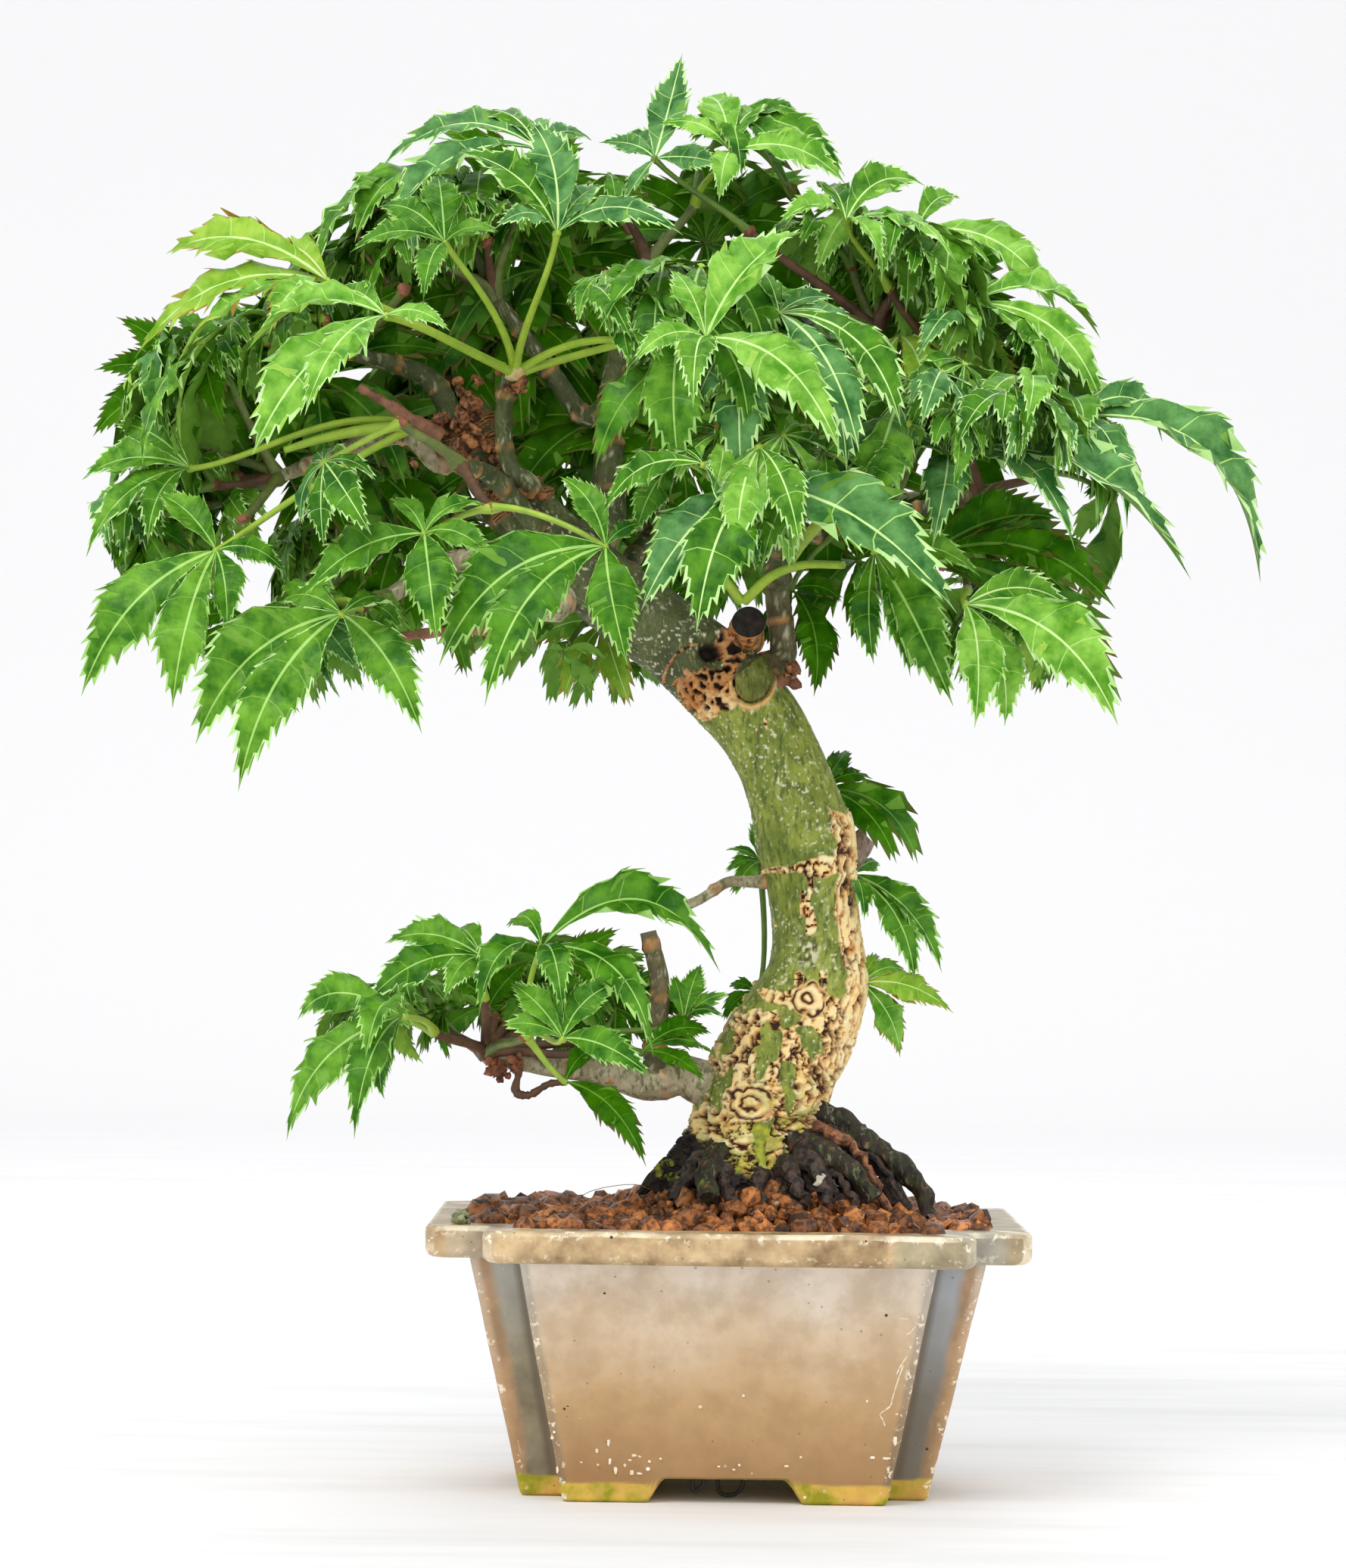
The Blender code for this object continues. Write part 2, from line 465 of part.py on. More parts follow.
def add_limb(name, path, sides, finish_name, phase, level_foot=False):
    """A tapering tube along a path of (x, y, z, radius); a level foot is a flat cut."""
    side, other = cross_frames(path)
    if level_foot:
        side[0], other[0] = (1.0, 0.0, 0.0), (0.0, 1.0, 0.0)
        if np.dot(side[1], side[0]) < 0:
            side[1:], other[1:] = -side[1:], -other[1:]
    angle = (np.arange(sides) * 2.0 * math.pi / sides)[None, :]
    height = path[:, 2][:, None]
    swell = bark_swell(angle, height, phase) + (flare_flutes(angle, height) if level_foot else 0.0)
    radius = path[:, 3][:, None] * (1.0 + swell)
    rings = (path[:, None, :3] + (radius * np.cos(angle))[..., None] * side[:, None, :]
             + (radius * np.sin(angle))[..., None] * other[:, None, :])
    points, faces = loft(rings)
    return add_piece(name, points, faces, path[0, :3], finish_name, sharp_degrees=50)


def point_along(path, part):
    """Place, radius and direction at a part, 0 to 1, of a path's length, and that length."""
    steps = np.linalg.norm(np.diff(path[:, :3], axis=0), axis=1)
    run = np.concatenate([[0.0], np.cumsum(steps)])
    way = tangents(path)
    point = [np.interp(part * run[-1], run, path[:, k]) for k in range(4)]
    direction = [np.interp(part * run[-1], run, way[:, k]) for k in range(3)]
    return np.array(point[:3]), point[3], unit(direction), run[-1]


def side_start(parent, part, towards, radius):
    """Where a bough leaves its parent: two points, clear of the bark and straight out of it."""
    carrier, width, direction, length = point_along(parent, part)
    out = np.asarray(towards, dtype=float) - carrier
    out = unit(out - np.dot(out, direction) * direction)
    width = max(width, point_along(parent, part - radius / length)[1])
    start = carrier + out * (width * (1.0 + BARK_UNEVEN) + GAP)
    return [(*start, radius), (*(start + out * radius), radius)]


def make_limbs():
    """Trunk, main limb and boughs: their objects and the paths they follow."""
    pieces, paths = [], {}
    paths["trunk"] = smooth_path(TRUNK, 2)
    pieces.append(add_limb("trunk", paths["trunk"], TRUNK_SIDES, "bark", 0.4, level_foot=True))
    fork = paths["trunk"][-1]
    way = tangents(paths["trunk"])[-1]
    joint = (*(fork[:3] + GAP * way), fork[3])
    beyond = (*(fork[:3] + (GAP + 2.5) * way), fork[3])
    paths["main_limb"] = smooth_path((joint, beyond) + MAIN_LIMB, 2)
    pieces.append(add_limb("main_limb", paths["main_limb"], LIMB_SIDES, "bark", 1.3))
    for number, (name, (parent, part, points)) in enumerate(BOUGHS.items()):
        radius = points[0][3] * 1.15
        start = side_start(paths[parent], part, points[0][:3], radius)
        paths[name] = smooth_path(start + list(points), 2)
        pieces.append(add_limb(name, paths[name], BOUGH_SIDES, "young_bark", number))
    for number, (name, points) in enumerate(ROOTS.items()):
        paths[name] = smooth_path(points, 3)
        pieces.append(add_limb(name, paths[name], ROOT_SIDES, "root", number))
    return pieces, paths


# ---- masses of leaves ---------------------------------------------------------------------

def ball_reach(directions, radii, facing):
    """Distance from the centre to a flattened ball's surface along each direction."""
    through = unit(facing)
    first = unit(np.array((1.0, 0.0, 0.0)) - through[0] * through)
    second = np.cross(through, first)
    axes = np.stack([first, second, through])
    return 1.0 / np.sqrt((((directions @ axes.T) / np.asarray(radii)) ** 2).sum(axis=1))


def spread_directions(count, tips):
    """Evenly spread unit vectors on a golden spiral, with the tips' own put in."""
    order = np.arange(count) + 0.5
    height = 1.0 - 2.0 * order / count
    turn = math.pi * (3.0 - math.sqrt(5.0)) * order
    ring = np.sqrt(1.0 - height ** 2)
    spiral = np.column_stack([ring * np.cos(turn), ring * np.sin(turn), height])
    clear = (spiral @ tips.T).max(axis=1) < math.cos(TIP_CLEAR)
    return np.vstack([spiral[clear], tips])


def cutting_planes(name, paths):
    """Planes that bound a mass, as (direction, distance) from its centre."""
    centre, radii, facing, _ = MASSES[name]
    centre = np.array(centre)
    planes = []
    for other, (other_centre, other_radii, other_facing, _) in MASSES.items():
        if other != name:
            away = np.array(other_centre) - centre
            distance = np.linalg.norm(away)
            away = (away / distance)[None, :]
            mine = ball_reach(away, radii, facing)[0]
            theirs = ball_reach(-away, other_radii, other_facing)[0]
            planes.append((away[0], distance * mine / (mine + theirs) - GAP / 2))
    for path in paths.values():
        away = path[:, :3] - centre
        distance = np.linalg.norm(away, axis=1)
        clearance = path[:, 3] * (1.0 + BARK_UNEVEN + FLARE_DEPTH) + GAP
        planes.extend(zip(away / distance[:, None], distance - clearance))
    return planes


def ball_faces(ways):
    """Triangles that join points on a ball of radius one: those of their convex hull."""
    shape = bmesh.new()
    for way in ways:
        shape.verts.new(way)
    bmesh.ops.convex_hull(shape, input=shape.verts)
    bmesh.ops.recalc_face_normals(shape, faces=shape.faces)
    shape.verts.index_update()
    faces = [tuple(vertex.index for vertex in face.verts) for face in shape.faces]
    shape.free()
    return faces


def add_mass(name, number, paths):
    """One closed, uneven mass of leaves, drawn out to its tips and cut by its planes."""
    centre, radii, facing, tips = MASSES[name]
    centre = np.array(centre)
    tips = np.array(tips) - centre
    tip_reach = np.linalg.norm(tips, axis=1)
    tip_way = tips / tip_reach[:, None]
    count = SMALL_MASS_POINTS if max(radii) < SMALL_MASS else MASS_POINTS
    ways = spread_directions(count, tip_way)

    chance = np.random.default_rng(SEED + number)
    axes = chance.normal(scale=SWELL_RATE, size=(SWELL_WAVES, 3))
    phases = chance.uniform(0.0, 2.0 * math.pi, SWELL_WAVES)
    swell = np.sin(ways @ axes.T + phases).mean(axis=1)
    reach = ball_reach(ways, radii, facing)
    reach = reach * (1.0 + UNEVEN * swell
                     + ROUGHNESS * chance.uniform(-1.0, 1.0, len(ways)))
    extra = tip_reach - ball_reach(tip_way, radii, facing)
    angle = np.arccos(np.clip(ways @ tip_way.T, -1.0, 1.0))
    reach = reach + (extra * np.exp(-(angle / TIP_SPREAD) ** 2)).max(axis=1)
    reach[-len(tips):] = tip_reach

    for direction, distance in cutting_planes(name, paths):
        towards = ways @ direction
        facing_it = towards > 1e-6
        reach[facing_it] = np.minimum(reach[facing_it], distance / towards[facing_it])

    return add_piece(name, centre + ways * reach[:, None], ball_faces(ways), centre, "leaf")


def make_masses(paths):
    """All masses of leaves."""
    return [add_mass(name, number, paths) for number, name in enumerate(MASSES)]


# ---- the whole plant ----------------------------------------------------------------------

def centre_on_origin(pieces, guides):
    """Hang everything on one empty and move it so that the model's box is centred."""
    corners = []
    for piece in pieces:
        points = np.array([v.co for v in piece.data.vertices]) + np.array(piece.location)
        corners.extend([points.min(axis=0), points.max(axis=0)])
    low, high = np.min(corners, axis=0), np.max(corners, axis=0)
    stand = bpy.data.objects.new("stand", None)
    stand.location = (-(low[0] + high[0]) / 2, -(low[1] + high[1]) / 2, FOOT_DROP * MM)
    bpy.context.scene.collection.objects.link(stand)
    for piece in pieces + guides:
        piece.parent = stand


def build():
    """Clear the scene and make the potted tree."""
    for old in list(bpy.data.objects):
        bpy.data.objects.remove(old, do_unlink=True)
    pot, guides = make_pot()
    limbs, paths = make_limbs()
    pieces = [pot, make_soil()] + limbs + make_masses(paths)
    centre_on_origin(pieces, guides)


build()
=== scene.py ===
"""A small maple bonsai in a glazed, footed pot with notched corners.

Sizes are in millimetres: X along the pot, -Y the way the tree faces, and Z up from a level
FOOT_DROP above the feet.  set_down() turns them into metres at the frame's pot.  Every surface
is a grid of rows and columns, and Stock joins many into one piece.
"""

import math

import bpy
import numpy as np
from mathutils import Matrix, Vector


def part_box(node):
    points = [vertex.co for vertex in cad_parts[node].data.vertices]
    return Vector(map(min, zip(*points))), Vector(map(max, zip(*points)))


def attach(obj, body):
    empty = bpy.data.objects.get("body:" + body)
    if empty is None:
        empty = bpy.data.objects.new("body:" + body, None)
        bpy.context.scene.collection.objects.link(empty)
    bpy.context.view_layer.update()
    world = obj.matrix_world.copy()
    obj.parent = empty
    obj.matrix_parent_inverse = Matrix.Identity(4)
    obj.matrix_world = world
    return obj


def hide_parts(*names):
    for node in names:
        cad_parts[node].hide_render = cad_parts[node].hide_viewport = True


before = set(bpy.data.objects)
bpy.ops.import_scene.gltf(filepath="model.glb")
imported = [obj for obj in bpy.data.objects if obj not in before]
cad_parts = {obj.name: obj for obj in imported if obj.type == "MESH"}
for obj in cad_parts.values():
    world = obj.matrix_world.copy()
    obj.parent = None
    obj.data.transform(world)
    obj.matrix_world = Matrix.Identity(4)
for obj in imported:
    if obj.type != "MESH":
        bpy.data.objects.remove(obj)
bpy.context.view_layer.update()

MM = 0.001
POT_LOW, POT_HIGH = (np.array(corner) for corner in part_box("pot"))
POT_CENTRE = np.array([*((POT_LOW + POT_HIGH) / 2)[:2], 0])
UP = np.array((0, 0, 1))
FOOT_DROP = 2.3

# Where it is seen from.
EYE = np.array((-10.4, -768, 100))
EYE_PITCH = 1.44              # degrees above level
EYE_ROLL = 0.8
LENS = 101.16
SENSOR = 36


# ---- numbers and noise ----

def read_rows(text):
    """The words and numbers of each line of a table; a last comma carries a line on."""
    return [[word if word[0].isalpha() else float(word) for word in line.split()]
            for line in text.replace(",\n", " ").replace(",", " ").strip().splitlines()]


def read_points(text, size):
    """Written numbers as points of so many numbers each."""
    return np.array(text.replace(",", " ").split(), dtype=float).reshape(-1, size)


def set_down(points):
    """Millimetres on the tree's axes to metres in the frame."""
    return (np.asarray(points, dtype=float) + FOOT_DROP * UP) * MM + POT_CENTRE


def size_of(vectors):
    """Length of each vector."""
    return np.linalg.norm(vectors, axis=-1)


def unit(vectors):
    """Each vector at length one."""
    vectors = np.asarray(vectors, dtype=float)
    return vectors / np.maximum(size_of(vectors)[..., None], 1e-9)


def ease(low, high, value):
    """0 below low, 1 above high, and a smooth 3t^2 - 2t^3 between."""
    t = np.clip((value - low) / (high - low), 0, 1)
    return t * t * (3 - 2 * t)


def between(first, second, part):
    """First where part is 0, second where it is 1, a mix between."""
    return first * (1 - part) + second * part


def bump(value, centre, half_width):
    """1 at the centre, falling smoothly to 0 at half_width either side."""
    return 1 - ease(0, half_width, np.abs(value - centre))


def cell_value(cells, salt):
    """A repeatable value from 0 to 1 for each cell, by mixing its whole numbers."""
    cells = cells.astype(np.int64)
    mixed = (cells[..., 0] * 374761393 + cells[..., 1] * 668265263
             + cells[..., 2] * 1440662683 + salt * 1274126177) & 0xFFFFFFFF
    mixed = ((mixed ^ (mixed >> 13)) * 1274126177) & 0xFFFFFFFF
    mixed = ((mixed ^ (mixed >> 15)) * 2246822519) & 0xFFFFFFFF
    return (mixed ^ (mixed >> 16)) / 4294967295


CORNERS = np.array([(i, j, k) for i in (0, 1) for j in (0, 1) for k in (0, 1)])


def cloud(points, size, salt=0):
    """Smooth noise from 0 to 1: values at a cell's eight corners, blended by closeness."""
    place = np.asarray(points, dtype=float) / size
    cell = np.floor(place)
    t = place - cell
    t = t * t * (3 - 2 * t)
    total = np.zeros(place.shape[:-1])
    for corner in CORNERS:
        weight = np.prod(np.where(corner == 1, t, 1 - t), axis=-1)
        total += weight * cell_value(cell + corner, salt)
    return total


def layered(points, size, layers=3, salt=0):
    """Clouds added up, each half the size and half the strength of the one before."""
    total = sum(cloud(points, np.asarray(size) / 2 ** k, salt + k) / 2 ** k
                for k in range(layers))
    return total / sum(1 / 2 ** k for k in range(layers))


# ---- meshes ----

def new_object(name, data):
    """An object of the scene with its mesh, light or camera."""
    thing = bpy.data.objects.new(name, data)
    bpy.context.scene.collection.objects.link(thing)
    return thing


def grid_faces(rows, columns, closed=True):
    """Quads of a grid of points, row after row; closed joins the last column to the first."""
    across = np.arange(columns if closed else columns - 1)
    after = (across + 1) % columns
    row = np.arange(rows - 1)[:, None] * columns
    quads = np.stack([row + across, row + after, row + columns + after, row + columns + across],
                     axis=-1)
    return quads.reshape(-1, 4)


class Stock:
    """Grids and blobs gathered up to be joined into one piece."""

    def __init__(self):
        self.points, self.quads, self.finish, self.fields = [], [], [], []
        self.count = 0

    def add(self, points, quads, finish=0, **fields):
        """Adds points and quads; a quad that repeats its last point is a triangle."""
        points = np.asarray(points, dtype=float).reshape(-1, 3)
        quads = np.asarray(quads, dtype=np.int64)
        self.points.append(points)
        self.quads.append(quads + self.count)
        self.finish.append(np.broadcast_to(np.asarray(finish), (len(quads),)))
        self.fields.append({name: np.asarray(value).reshape(-1) for name, value in fields.items()})
        self.count += len(points)

    def add_rings(self, rings, finish=0, **fields):
        """A skin through rings of points, row after row, closed by a point at each end."""
        rows, columns = rings.shape[:2]
        ring = np.arange(columns)
        after = (ring + 1) % columns
        last = (rows - 1) * columns
        foot, head = (np.full(columns, rows * columns + k) for k in (0, 1))
        points = np.vstack([rings.reshape(-1, 3), rings[0].mean(axis=0), rings[-1].mean(axis=0)])
        quads = np.vstack([grid_faces(rows, columns), np.column_stack([after, ring, foot, foot]),
                           np.column_stack([last + ring, last + after, head, head])])
        for name, value in fields.items():
            value = np.broadcast_to(value, (rows, columns))
            fields[name] = np.append(value.reshape(-1), (value[0].mean(), value[-1].mean()))
        self.add(points, quads, finish, **fields)

    def add_tube(self, path, sides, finish=0):
        """A round tube along a path of (x, y, z, radius)."""
        place, out = ring_grid(path, np.arange(sides) * 2 * math.pi / sides)
        self.add_rings(place + path[:, None, 3:4] * out, finish)

    def piece(self, name, looks, slot, replaces=(), smooth=60):
        """Makes the object, with its finishes by name and its fields as attributes."""
        points = set_down(np.vstack(self.points))
        quads = np.vstack(self.quads)
        kept = np.ones(quads.shape, dtype=bool)
        kept[:, 3] = quads[:, 2] != quads[:, 3]
        corners = quads[kept]
        start = np.append(0, np.cumsum(kept.sum(axis=1))[:-1])
        mesh = bpy.data.meshes.new(name)
        mesh.vertices.add(len(points))
        mesh.vertices.foreach_set("co", points.reshape(-1))
        mesh.loops.add(len(corners))
        mesh.loops.foreach_set("vertex_index", corners.astype(np.int32))
        mesh.polygons.add(len(quads))
        mesh.polygons.foreach_set("loop_start", start.astype(np.int32))
        looks = looks.split()
        finish = np.concatenate(self.finish)
        used = np.unique(finish)
        for number in used:
            mesh.materials.append(FINISHES[looks[number]])
        finish = np.searchsorted(used, finish)
        mesh.polygons.foreach_set("material_index", finish.astype(np.int32))
        for field in sorted({key for fields in self.fields for key in fields}):
            values = [fields.get(field, np.zeros(len(part)))
                      for fields, part in zip(self.fields, self.points)]
            mesh.attributes.new(field, "FLOAT", "POINT").data.foreach_set(
                "value", np.concatenate(values).astype(np.float32))
        mesh.update(calc_edges=True)
        mesh.shade_smooth()
        mesh.set_sharp_from_angle(angle=math.radians(smooth))
        thing = new_object(name, mesh)
        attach(thing, "root")
        if replaces:
            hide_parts(*replaces)


# ---- paths ----

def smooth_path(points, steps):
    """A centripetal Catmull-Rom curve through the points, a few steps between each pair."""
    points = np.asarray(points, dtype=float)
    padded = np.vstack([2 * points[0] - points[1], points, 2 * points[-1] - points[-2]])
    knots = np.append(0, np.cumsum(np.sqrt(size_of(np.diff(padded[:, :3], axis=0)))))

    def blend(first, last, start, end, t):
        """Straight-line blend between two knots."""
        return (first * (end - t) + last * (t - start)) / (end - start)

    spans = []
    for k in range(len(points) - 1):
        k0, k1, k2, k3 = knots[k:k + 4]
        t = (k1 + (k2 - k1) * np.arange(steps) / steps)[:, None]
        a = blend(padded[k], padded[k + 1], k0, k1, t)
        b = blend(padded[k + 1], padded[k + 2], k1, k2, t)
        c = blend(padded[k + 2], padded[k + 3], k2, k3, t)
        spans.append(blend(blend(a, b, k0, k2, t), blend(b, c, k1, k3, t), k1, k2, t))
    spans.append(points[-1:])
    return np.vstack(spans)


def run_along(path):
    """Distance along a path to each of its points."""
    return np.append(0, np.cumsum(size_of(np.diff(path[:, :3], axis=0))))


def even_path(points, step):
    """The smooth path through the points, walked at even steps."""
    fine = smooth_path(points, 24)
    run = run_along(fine)
    at = np.linspace(0, run[-1], max(4, int(run[-1] / step) + 1))
    return np.column_stack([np.interp(at, run, fine[:, k]) for k in range(fine.shape[1])])


def tangents(path):
    """Unit direction of a path at each of its points."""
    return unit(np.gradient(path[:, :3], axis=0))


def cross_frames(path):
    """Two unit vectors square to the path at each point, carried along it without twist."""
    along = tangents(path)
    side = np.cross(along[0], (0, 1, 0))
    if size_of(side) < 0.1:
        side = np.cross(along[0], (1, 0, 0))
    sides = []
    for direction in along:
        side = side - np.dot(side, direction) * direction
        side = side / size_of(side)
        sides.append(side)
    sides = np.array(sides)
    return sides, np.cross(along, sides)


def ring_grid(path, angle):
    """The centre line repeated at each angle, and the way out from it there."""
    side, other = cross_frames(path)
    out = np.cos(angle)[:, None] * side[:, None] + np.sin(angle)[:, None] * other[:, None]
    return np.repeat(path[:, None, :3], len(angle), axis=1), out


def point_along(path, part):
    """Place, radius and direction at a part, 0 to 1, of a path's length, and that length."""
    run = run_along(path)
    x, y, z, radius, *way = (np.interp(part * run[-1], run, column)
                             for column in (*path.T, *tangents(path).T))
    return np.array((x, y, z)), radius, unit(way), run[-1]


# ---- finishes ----

def paint(red, green, blue):
    """A colour on a 0 to 255 scale as the linear colour that shaders use."""
    share = np.array((red, green, blue)) / 255
    linear = np.where(share <= 0.04045, share / 12.92, ((share + 0.055) / 1.055) ** 2.4)
    return (*(float(value) for value in linear), 1)


class Wiring:
    """Adds nodes to a tree; an input is a value or the socket that feeds it."""

    def __init__(self, tree):
        self.tree = tree
        tree.nodes.clear()

    def feed(self, socket, value):
        """Links or sets a socket; a colour may be its red, green and blue."""
        if isinstance(value, bpy.types.NodeSocket):
            self.tree.links.new(value, socket)
        elif socket.type == "RGBA" and len(value) == 3:
            socket.default_value = paint(*value)
        else:
            socket.default_value = value

    def node(self, kind, inputs=(), **settings):
        """A node with its settings, and its inputs by name or number."""
        node = self.tree.nodes.new("ShaderNode" + kind)
        for name, value in settings.items():
            setattr(node, name, value)
        for name, value in dict(inputs).items():
            self.feed(node.inputs[name], value)
        return node

    def use(self, group, **values):
        """The outputs of a node group with its own values."""
        return self.node("Group", values, node_tree=group).outputs

    def maths(self, operation, first, second=0, clamp=False):
        """One sum on two numbers or sockets."""
        return self.node("Math", {0: first, 1: second}, operation=operation,
                         use_clamp=clamp).outputs[0]

    def times(self, first, second):
        """The product of two numbers or sockets."""
        return self.maths("MULTIPLY", first, second)

    def mix(self, amount, first, second):
        """Two colours mixed by an amount."""
        return self.node("Mix", {0: amount, 6: first, 7: second}, data_type="RGBA",
                         blend_type="MIX").outputs[2]

    def span(self, value, low, high, to_low=0, to_high=1):
        """A value stretched from one range to another and held there."""
        return self.node("MapRange", {"Value": value, "From Min": low, "From Max": high,
                                      "To Min": to_low, "To Max": to_high}).outputs[0]

    def field(self, name):
        """A number that the piece carries at its points."""
        return self.node("Attribute", attribute_name=name).outputs["Fac"]

    def noise(self, vector, scale, detail=3, rough=0.55):
        """Noise from 0 to 1 on a vector."""
        return self.node("TexNoise", {"Vector": vector, "Scale": scale, "Detail": detail,
                                      "Roughness": rough}).outputs["Fac"]

    def mottled(self, first, second, scale, contrast):
        """Two colours in clouds, by the mottle effect."""
        return self.use(mottle(), First=first, Second=second, Scale=scale,
                        Contrast=contrast)["Color"]

    def specks(self, scale, size, share):
        """Scattered specks, by the speckle effect."""
        return self.use(speckle(), Scale=scale, Size=size, Share=share)["Mask"]

    def rough(self, scale, balance):
        """An uneven height, by the grain effect."""
        return self.use(grain(), Scale=scale, Balance=balance)["Height"]


GROUPS = {}
FINISHES = {}


def effect(name, build, **inputs):
    """A node group, built once, with its inputs and their first values."""
    if name not in GROUPS:
        tree = GROUPS[name] = bpy.data.node_groups.new(name, "ShaderNodeTree")
        for label, value in inputs.items():
            kind = "NodeSocketFloat" if np.isscalar(value) else "NodeSocketColor"
            socket = tree.interface.new_socket(label, in_out="INPUT", socket_type=kind)
            socket.default_value = value
        wire = Wiring(tree)
        place = wire.node("TexCoord").outputs["Object"]
        entry = tree.nodes.new("NodeGroupInput")
        leaving = tree.nodes.new("NodeGroupOutput")
        for label, socket in build(wire, entry.outputs, place).items():
            kind = "NodeSocketColor" if socket.type == "RGBA" else "NodeSocketFloat"
            tree.interface.new_socket(label, in_out="OUTPUT", socket_type=kind)
            tree.links.new(socket, leaving.inputs[label])
    return GROUPS[name]


def mottle():
    """First and Second mixed by noise at Scale, spread by Contrast about a half."""
    def build(wire, given, place):
        cloudy = wire.noise(place, given["Scale"], 4, 0.6)
        away = wire.times(wire.maths("SUBTRACT", cloudy, 0.5), given["Contrast"])
        amount = wire.maths("ADD", away, 0.5, clamp=True)
        return {"Color": wire.mix(amount, given["First"], given["Second"]), "Amount": amount}
    return effect("mottle", build, First=(1, 1, 1, 1), Second=(0, 0, 0, 1), Scale=100, Contrast=2)


def speckle():
    """Specks where the centre of a random cell is nearer than Size, thinned by Share."""
    def build(wire, given, place):
        cells = wire.node("TexVoronoi", {"Vector": place, "Scale": given["Scale"]}).outputs
        near = wire.maths("LESS_THAN", cells["Distance"], given["Size"])
        pick = wire.node("SeparateColor", {0: cells["Color"]}).outputs[0]
        return {"Mask": wire.times(near, wire.maths("LESS_THAN", pick, given["Share"]))}
    return effect("speckle", build, Scale=400, Size=0.2, Share=0.3)


def grain():
    """A height from 0 to 1: fine noise added to coarse noise by Balance."""
    def build(wire, given, place):
        coarse = wire.noise(place, given["Scale"], 3)
        fine = wire.noise(place, wire.times(given["Scale"], 5), 2)
        lean = wire.times(wire.maths("SUBTRACT", fine, coarse), given["Balance"])
        return {"Height": wire.maths("ADD", coarse, lean)}
    return effect("grain", build, Scale=300, Balance=0.4)


def finish(name, build, **constants):
    """A material whose build returns what feeds the surface's sockets, by name.

    A Height goes through a bump.  Constants are set on the surface's own sockets.
    """
    material = bpy.data.materials.new(name)
    material.use_nodes = True
    wire = Wiring(material.node_tree)
    surface = wire.node("BsdfPrincipled")
    wire.node("OutputMaterial", {0: surface.outputs[0]})
    for label, value in constants.items():
        surface.inputs[label.replace("_", " ")].default_value = value
    place = wire.node("TexCoord").outputs["Object"]
    for label, value in build(wire, place).items():
        if label == "Height":
            height, strength, depth = value
            label = "Normal"
            value = wire.node("Bump", {"Height": height, "Strength": strength,
                                       "Distance": depth}).outputs[0]
        wire.feed(surface.inputs[label], value)
    return material


def plain_mottled(name, first, second, scale, contrast, bump_scale, bump_depth, **constants):
    """A finish of two close colours in clouds, with a grain for the bump."""
    def build(wire, place):
        return {"Base Color": wire.mottled(first, second, scale, contrast),
                "Height": (wire.rough(bump_scale, 0.5), 0.5, bump_depth)}
    return finish(name, build, **constants)


# Tones of the leaves' blades, veins, margins and undersides: a paint and a second paint.
# The pale lines of the margins are a painted highlight along the edge.
LEAF_PAINTS = read_rows("""
leaf_dark 38 92 0, 72 132 4
leaf_deep 32 90 2, 86 146 26
leaf_mid 44 104 4, 110 168 44
leaf_blue 40 98 36, 102 158 84
leaf_bright 72 138 14, 142 198 74
leaf_yellow 104 158 22, 156 194 64
vein_dim 106 154 50, 130 174 68
vein_soft 152 198 96, 176 216 120
vein_pale 190 228 136, 212 240 164
margin_soft 142 190 92, 168 212 118
margin_pale 174 220 130, 200 236 160
margin_warm 158 172 54, 150 112 40
margin_dark 104 96 36, 84 114 36
under_mid 96 144 40, 118 166 60
under_light 142 188 64, 162 204 82
""")
LEAF_LOOKS = [row[0] for row in LEAF_PAINTS]


def bark_finish(name, skin, skin_shade, plate, plate_shade, groove):
    """Bark: smooth skin, and cork where the fields say, with dark holes between its ridges.

    Fields: cork, groove (near black: dark bark with painted shade in slits, pits and troughs),
    tint (brown round the holes), pale flecks, moss and hollow (near black: painted shade in
    hollows, and the dark foot of the trunk).
    """
    def build(wire, place):
        drawn = wire.node("Mapping", {"Vector": place, "Scale": (1, 1, 0.35)}).outputs[0]
        streak = wire.noise(drawn, 900, 4, 0.7)
        skin_colour = wire.mix(wire.span(streak, 0.56, 0.66, 0, 0.6),
                               wire.mottled(skin, skin_shade, 210, 3.4),
                               wire.mix(0.45, skin, (240, 240, 190)))
        shade = wire.noise(drawn, 1000, 4, 0.7)
        skin_colour = wire.mix(wire.span(shade, 0.50, 0.40, 0, 0.7), skin_colour, (66, 80, 30))
        cork_colour = wire.mix(wire.field("tint"), wire.mottled(plate, plate_shade, 330, 3.2),
                               (216, 140, 68))
        colour = wire.mix(wire.field("cork"), skin_colour, cork_colour)
        # groove and hollow lay near black over the colour: painted shade in slits, pits, troughs and
        # hollows, over dark bark in the grooves; hollow also darkens the trunk's foot.
        for name, tone in (("pale", (232, 228, 196)), ("groove", groove),
                           ("moss", wire.mottled((206, 204, 50), (104, 128, 40), 700, 3)),
                           ("hollow", wire.mottled((52, 40, 34), (16, 11, 10), 800, 3))):
            colour = wire.mix(wire.field(name), colour, tone)
        return {"Base Color": colour, "Height": (wire.rough(1100, 0.5), 0.6, 0.0004)}
    return finish(name, build, Roughness=0.66, Specular_IOR_Level=0.35)


